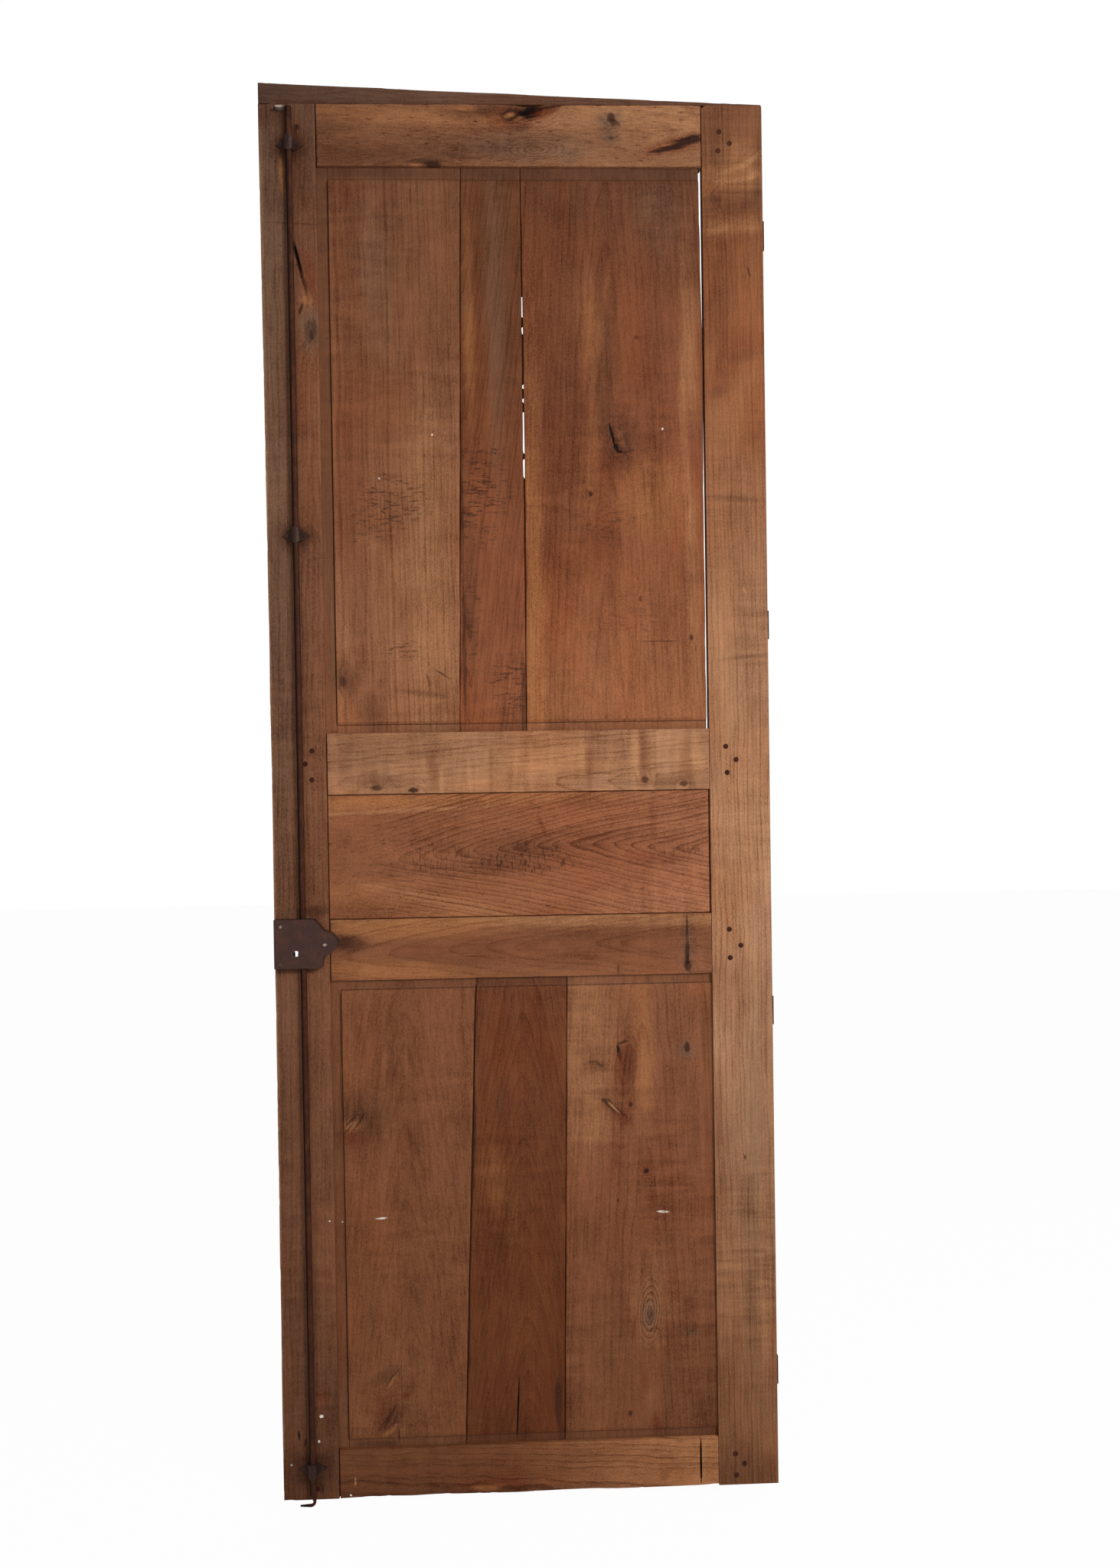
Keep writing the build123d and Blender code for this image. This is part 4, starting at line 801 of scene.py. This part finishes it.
def panel_board(node, span, left, right, joints, margins, setback, finish, seed, marks=(), open_spans=(),
                belly=0.0, bulge=0.0, steps=(1.0, 1.0, 1.0, 1.0)):
    """A panel board: a raised field with a sunk margin on the inner face and a long bevel on the rear one.

    left and right are the places of its upright edges at its foot and head, belly and bulge how far they
    bow. joints says what each edge meets: frame, tongue (it reaches behind the next board), plain, or free.
    margins are the sunk border's widths at the left, right, foot and head, and steps their depths as shares.
    The tongue is broken away in open_spans.
    """
    foot, head = span
    rows = spaced(foot, head, ALONG_STEP)
    rows = np.concatenate([[foot - REACH, foot - HAIR], rows, [head + HAIR, head + REACH]])
    t = (rows - foot) / (head - foot)
    wobble = 0.35 * waves(rows / 45, 0 * rows, seed + 4)
    edge_left = left[0] + (left[1] - left[0]) * t + (wobble if joints[0] != "frame" else 0)
    edge_right = right[0] + (right[1] - right[0]) * t + (wobble if joints[1] != "frame" else 0)
    edge_left = edge_left + belly * np.clip(4 * t * (1 - t), 0, 1)
    edge_right = edge_right + bulge * np.exp(-((t - 0.64) / 0.17) ** 2)
    width = right[0] - left[0]
    body = spaced(0.0, width, PANEL_STEP, tuple(mark[0] - left[0] for mark in marks if mark[2] < 3)) / width
    borders = (margins[0], width - margins[1])
    border_lines = np.array([border + off for border in borders for off in (-0.9, -0.3, 0.3, 0.9)])
    body = np.unique(np.concatenate([body, np.clip(border_lines / width, 0, 1)]))
    body_u = edge_left + (edge_right - edge_left) * body[:, None]
    out_left = REACH if joints[0] == "frame" else 0
    out_right = REACH if joints[1] in ("frame", "tongue") else 0
    broken = np.ones_like(rows)
    for lo, hi in open_spans:
        broken *= 1 - ease(rows, lo - 3, lo) * (1 - ease(rows, hi, hi + 3))
    grids = [body_u]
    if out_left:
        grids.insert(0, np.stack([edge_left - out_left, edge_left - HAIR]))
    if out_right:
        tip = edge_right + HAIR * 2 + (out_right - HAIR * 2) * broken
        grids.append(np.stack([edge_right + HAIR, tip]))
    u = np.concatenate(grids)
    v = np.broadcast_to(rows, u.shape)
    past_left, past_right = u < edge_left - HAIR / 2, u > edge_right + HAIR / 2
    hidden = past_left | past_right | (v < foot - HAIR / 2) | (v > head + HAIR / 2)
    lap = past_right & (joints[1] == "tongue")
    free = [u - edge_left, edge_right - u, v - foot, head - v]
    inside = [f - m for f, m in zip(free, margins)]
    rise = np.minimum.reduce([
        1 - step * (1 - ease(i, -0.5, 0.7)) if m > 0.4 else np.ones_like(u)
        for i, m, step in zip(inside, margins, steps)])
    scribed = np.maximum.reduce([
        step * np.clip(1 - np.abs(i + 0.7) / 0.8, 0, 1) if m > 0.4 else 0 * u
        for i, m, step in zip(inside, margins, steps)])
    field = FACE + setback + planed(u, v, seed, 0.6)
    front = TONGUE_FRONT + (field - TONGUE_FRONT) * rise + scribed * (rise < 0.5)
    for side, joint in ((0, joints[0]), (1, joints[1])):
        if joint != "frame":
            front = front + arris(np.abs(free[side]), v, seed + 6 + side, 0.9)
    front = np.where(hidden, TONGUE_FRONT, front + dug(u, v, marks))
    front = np.where(lap, LAP_FRONT, front)
    framed = [f for f, joint in zip(free, (*joints, "frame", "frame")) if joint == "frame"]
    back = TONGUE_BACK + BEVEL_RISE * np.clip(np.minimum.reduce(framed) / BEVEL_WIDTH, 0, 1)
    back = np.where(hidden, TONGUE_BACK, back - planed(u, v, seed + 8, 0.4))
    back = np.where(lap, LAP_BACK, back)
    slab(node + "_worn", node, u, v, front, back, finish)


STRIP_ENDS = (0.8, 733.2)
STRIP_HEIGHTS = (30.5, 1.6)
STRIP_SETBACK = 0.5


def top_strip():
    """The tapered strip along the top: high at the lock side, low at the hinges, its upper edge uneven."""
    columns = spaced(*STRIP_ENDS, ALONG_STEP)
    shares = np.array((0.0, 0.04, 0.1, 0.2, 0.35, 0.5, 0.65, 0.8, 0.9, 0.96, 1.0))
    u, share = np.meshgrid(columns, shares, indexing="ij")
    high, low = STRIP_HEIGHTS
    height = high + (low - high) * u / WIDTH
    height = height - 0.3 * (1 + waves(u / 60, 0 * u, 301)) * np.clip(height / 8, 0, 1)
    v = HEIGHT + HAIR + (height - HAIR) * share
    d = np.minimum.reduce([u - STRIP_ENDS[0], STRIP_ENDS[1] - u, height * (1 - share)])
    lost = np.minimum(arris(d, u, 303), 1.5) + planed(u, v, 305)
    front = FACE + STRIP_SETBACK + lost
    back = REAR - STRIP_SETBACK - lost
    slab("top_strip_worn", "top_wedge", u, v, front, back, strip_wood)


def joint_between(share_foot, share_head):
    """Places at foot and head of a slanting joint given as shares of the opening."""
    width = OPENING[1] - OPENING[0]
    return OPENING[0] + width * share_foot, OPENING[0] + width * share_head


def moved(edge, by):
    return edge[0] + by, edge[1] + by


FRAME_LEFT = (OPENING[0], OPENING[0])
FRAME_RIGHT = (OPENING[1], OPENING[1])
UPPER_FIRST = joint_between(0.347, 0.371)
UPPER_SECOND = joint_between(0.521, 0.526)
LOWER_FIRST = joint_between(0.333, 0.378)
LOWER_SECOND = joint_between(0.593, 0.617)
FREE_EDGE = (641.8, 640.4)
OPEN_BITS = (
    (1498.0, 1529.0), (1537.0, 1596.0), (1608.0, 1618.0), (1630.0, 1639.0), (1711.0, 1722.0),
    (1733.0, 1766.0),
)
TOP_KNOTS = (
    (391.0, 2036.0, 27.0, 12.0, 6.0, 6.0),
    (630.0, 1990.0, 14.0, 4.5, -14.0, 1.2),
    (604.0, 1982.0, 22.0, 3.6, -16.0, 0.8),
)
PANEL_KNOT = ((509.0, 1556.0, 1.8, 13.0, 12.0, 3.0), (514.0, 1538.0, 3.4, 4.6, 0.0, 2.5))
RAIL_CRACK = ((618.0, 38.0, 1.4, 34.0, 0.0, 3.0),)
PANEL_CRACK = ((347.0, 124.0, 1.2, 48.0, -3.0, 2.2),)

lock_stile()
rail("top_rail", UPPER[1], HEIGHT, top_rail_wood, 221, ("foot",), end_gap=1.3, marks=TOP_KNOTS)
rail("upper_middle_rail", MIDDLE[1], UPPER[0], upper_rail_wood, 231, ("foot", "head"))
rail("lower_middle_rail", LOWER[1], MIDDLE[0], lower_rail_wood, 241, ("foot", "head"))
rail("bottom_rail", 0.0, LOWER[0], bottom_rail_wood, 251, ("head",), ragged=1.1, marks=RAIL_CRACK)
panel_board("upper_panel_board_left", UPPER, FRAME_LEFT, moved(UPPER_FIRST, -0.45), ("frame", "tongue"),
            (UPPER_LEFT, 0.0, *UPPER_ENDS), 2.6, upper_left_wood, 401)
panel_board("upper_panel_board_middle", UPPER, moved(UPPER_FIRST, 0.45), moved(UPPER_SECOND, -0.3),
            ("plain", "tongue"), (0.0, 0.0, *UPPER_ENDS), 3.4, upper_middle_wood, 411, open_spans=OPEN_BITS)
panel_board("upper_panel_board_right", UPPER, moved(UPPER_SECOND, 0.3), FREE_EDGE, ("plain", "free"),
            (0.0, 19.0, *UPPER_ENDS), 2.6, upper_right_wood, 421, marks=PANEL_KNOT, belly=1.6, bulge=2.2,
            steps=(1.0, 0.2, 1.0, 1.0))
panel_board("middle_panel", MIDDLE, FRAME_LEFT, FRAME_RIGHT, ("frame", "frame"),
            (0.8, 2.4, 0.8, 0.8), 0.8, middle_panel_wood, 431)
panel_board("lower_panel_board_left", LOWER, FRAME_LEFT, moved(LOWER_FIRST, -0.9), ("frame", "tongue"),
            (LOWER_LEFT, 0.0, *LOWER_ENDS), 2.6, lower_left_wood, 441)
panel_board("lower_panel_board_middle", LOWER, moved(LOWER_FIRST, 0.9), moved(LOWER_SECOND, -0.45),
            ("plain", "tongue"), (0.0, 0.0, *LOWER_ENDS), 3.6, lower_middle_wood, 451, marks=PANEL_CRACK)
panel_board("lower_panel_board_right", LOWER, moved(LOWER_SECOND, 0.45), FRAME_RIGHT, ("plain", "frame"),
            (0.0, 18.0, *LOWER_ENDS), 2.6, lower_right_wood, 461, steps=(1.0, 0.25, 1.0, 1.0))
top_strip()

FINISHES = {
    "hinge_stile": hinge_stile_wood, "lock_rod": rod_iron, "lock_case": lock_iron, "lock_bolt": lock_iron,
    "bolt_spring": lock_iron, "lock_nails": nail_iron,
}
for name, node in nodes.items():
    finish = FINISHES.get(name)
    if finish is None and "pegs" in name:
        finish = peg_wood
    elif finish is None:
        finish = hinge_iron if "hinge" in name else guide_iron
    node.data.materials.clear()
    node.data.materials.append(finish)


# Camera, light and ground

CAMERA_PLACE = (-375.2 * MM, -1745.8 * MM, 906.6 * MM)
CAMERA_TURNS = (math.radians(0.826), math.radians(-2.035), math.radians(-0.867))
FOCAL_SHARE = 1539.0 / 2048.0
SENSOR = 36.0
LIGHT_AIM = (-0.37, 0.0, 0.9)
WHITE = (1.0, 1.0, 1.0, 1.0)
PALE = (0.9, 0.9, 0.9, 1.0)
FLOOR_WHITENESS = 0.97


def aimed_camera():
    """Camera turned about right, down and forward axes: Rz times Rx times Ry gives its own axes as rows."""
    ax, ay, az = CAMERA_TURNS
    turn = Matrix.Rotation(az, 3, "Z") @ Matrix.Rotation(ax, 3, "X") @ Matrix.Rotation(ay, 3, "Y")
    right, down, forward = (Vector((row[0], row[2], -row[1])) for row in turn)
    data = bpy.data.cameras.new("camera")
    data.sensor_width = SENSOR
    data.lens = FOCAL_SHARE * SENSOR
    camera = bpy.data.objects.new("camera", data)
    axes = Matrix((right, -down, -forward)).transposed()
    camera.matrix_world = Matrix.Translation(CAMERA_PLACE) @ axes.to_4x4()
    bpy.context.scene.collection.objects.link(camera)
    bpy.context.scene.camera = camera


def area_light(name, spot, aim, size, power):
    """A round lamp at a spot, in metres and watts, turned to the aim."""
    data = bpy.data.lights.new(name, "AREA")
    data.shape = "DISK"
    data.size = size
    data.energy = power
    light = bpy.data.objects.new(name, data)
    light.location = spot
    light.rotation_euler = (Vector(aim) - Vector(spot)).to_track_quat("-Z", "Y").to_euler()
    bpy.context.scene.collection.objects.link(light)


def shader_node(tree, kind, **values):
    """A new node, or the one of that name, with values for its inputs."""
    node = tree.nodes.get(kind) or tree.nodes.new(kind)
    for key, value in values.items():
        node.inputs[key].default_value = value
    return node.outputs[0]


def white_to_the_eye(tree, shown, other, target):
    """Joins a shader that the camera sees, also through glass, and one that lights the rest."""
    path = tree.nodes.new("ShaderNodeLightPath")
    seen = tree.nodes.new("ShaderNodeMath")
    seen.operation = "MAXIMUM"
    tree.links.new(path.outputs["Is Camera Ray"], seen.inputs[0])
    tree.links.new(path.outputs["Is Transmission Ray"], seen.inputs[1])
    blend = tree.nodes.new("ShaderNodeMixShader")
    tree.links.new(seen.outputs[0], blend.inputs[0])
    tree.links.new(other, blend.inputs[1])
    tree.links.new(shown, blend.inputs[2])
    tree.links.new(blend.outputs[0], target)


def white_world(strength):
    """A world that is white to the eye and lights the leaf with some strength."""
    world = bpy.data.worlds.new("studio")
    world.use_nodes = True
    tree = world.node_tree
    glow = shader_node(tree, "Background", Color=WHITE, Strength=strength)
    shown = shader_node(tree, "ShaderNodeBackground", Color=WHITE, Strength=1.0)
    white_to_the_eye(tree, shown, glow, tree.nodes["World Output"].inputs["Surface"])
    bpy.context.scene.world = world


def pale_floor(height, half):
    """A flat square below the leaf, pale to the eye, with the leaf's soft shadow."""
    across = np.linspace(-half, half, 5)
    x, y = np.meshgrid(across + LEAF_LEFT + LEAF_WIDTH / 2, across, indexing="ij")
    spots = np.stack([x, y, np.full_like(x, height)], -1).reshape(-1, 3)
    index = np.arange(25).reshape(5, 5)
    mesh = bpy.data.meshes.new("floor")
    mesh.from_pydata(spots.tolist(), [], cells(index).reshape(-1, 4).tolist())
    floor = bpy.data.objects.new("floor", mesh)
    bpy.context.scene.collection.objects.link(floor)
    material = bpy.data.materials.new("floor_white")
    material.use_nodes = True
    tree = material.node_tree
    matt = shader_node(tree, "Principled BSDF", **{"Base Color": PALE, "Roughness": 0.9})
    shown = shader_node(tree, "ShaderNodeEmission", Color=WHITE)
    soft = tree.nodes.new("ShaderNodeMixShader")
    soft.inputs[0].default_value = FLOOR_WHITENESS
    tree.links.new(matt, soft.inputs[1])
    tree.links.new(shown, soft.inputs[2])
    white_to_the_eye(tree, soft.outputs[0], matt, tree.nodes["Material Output"].inputs["Surface"])
    mesh.materials.append(material)


aimed_camera()
area_light("key_light", (1.5, -2.4, 2.0), LIGHT_AIM, size=1.2, power=80.0)
area_light("fill_light", (-1.8, -2.4, 1.2), LIGHT_AIM, size=1.8, power=7.0)
white_world(strength=0.37)
pale_floor(height=-0.19, half=8.0)
bpy.context.scene.view_settings.view_transform = "Standard"
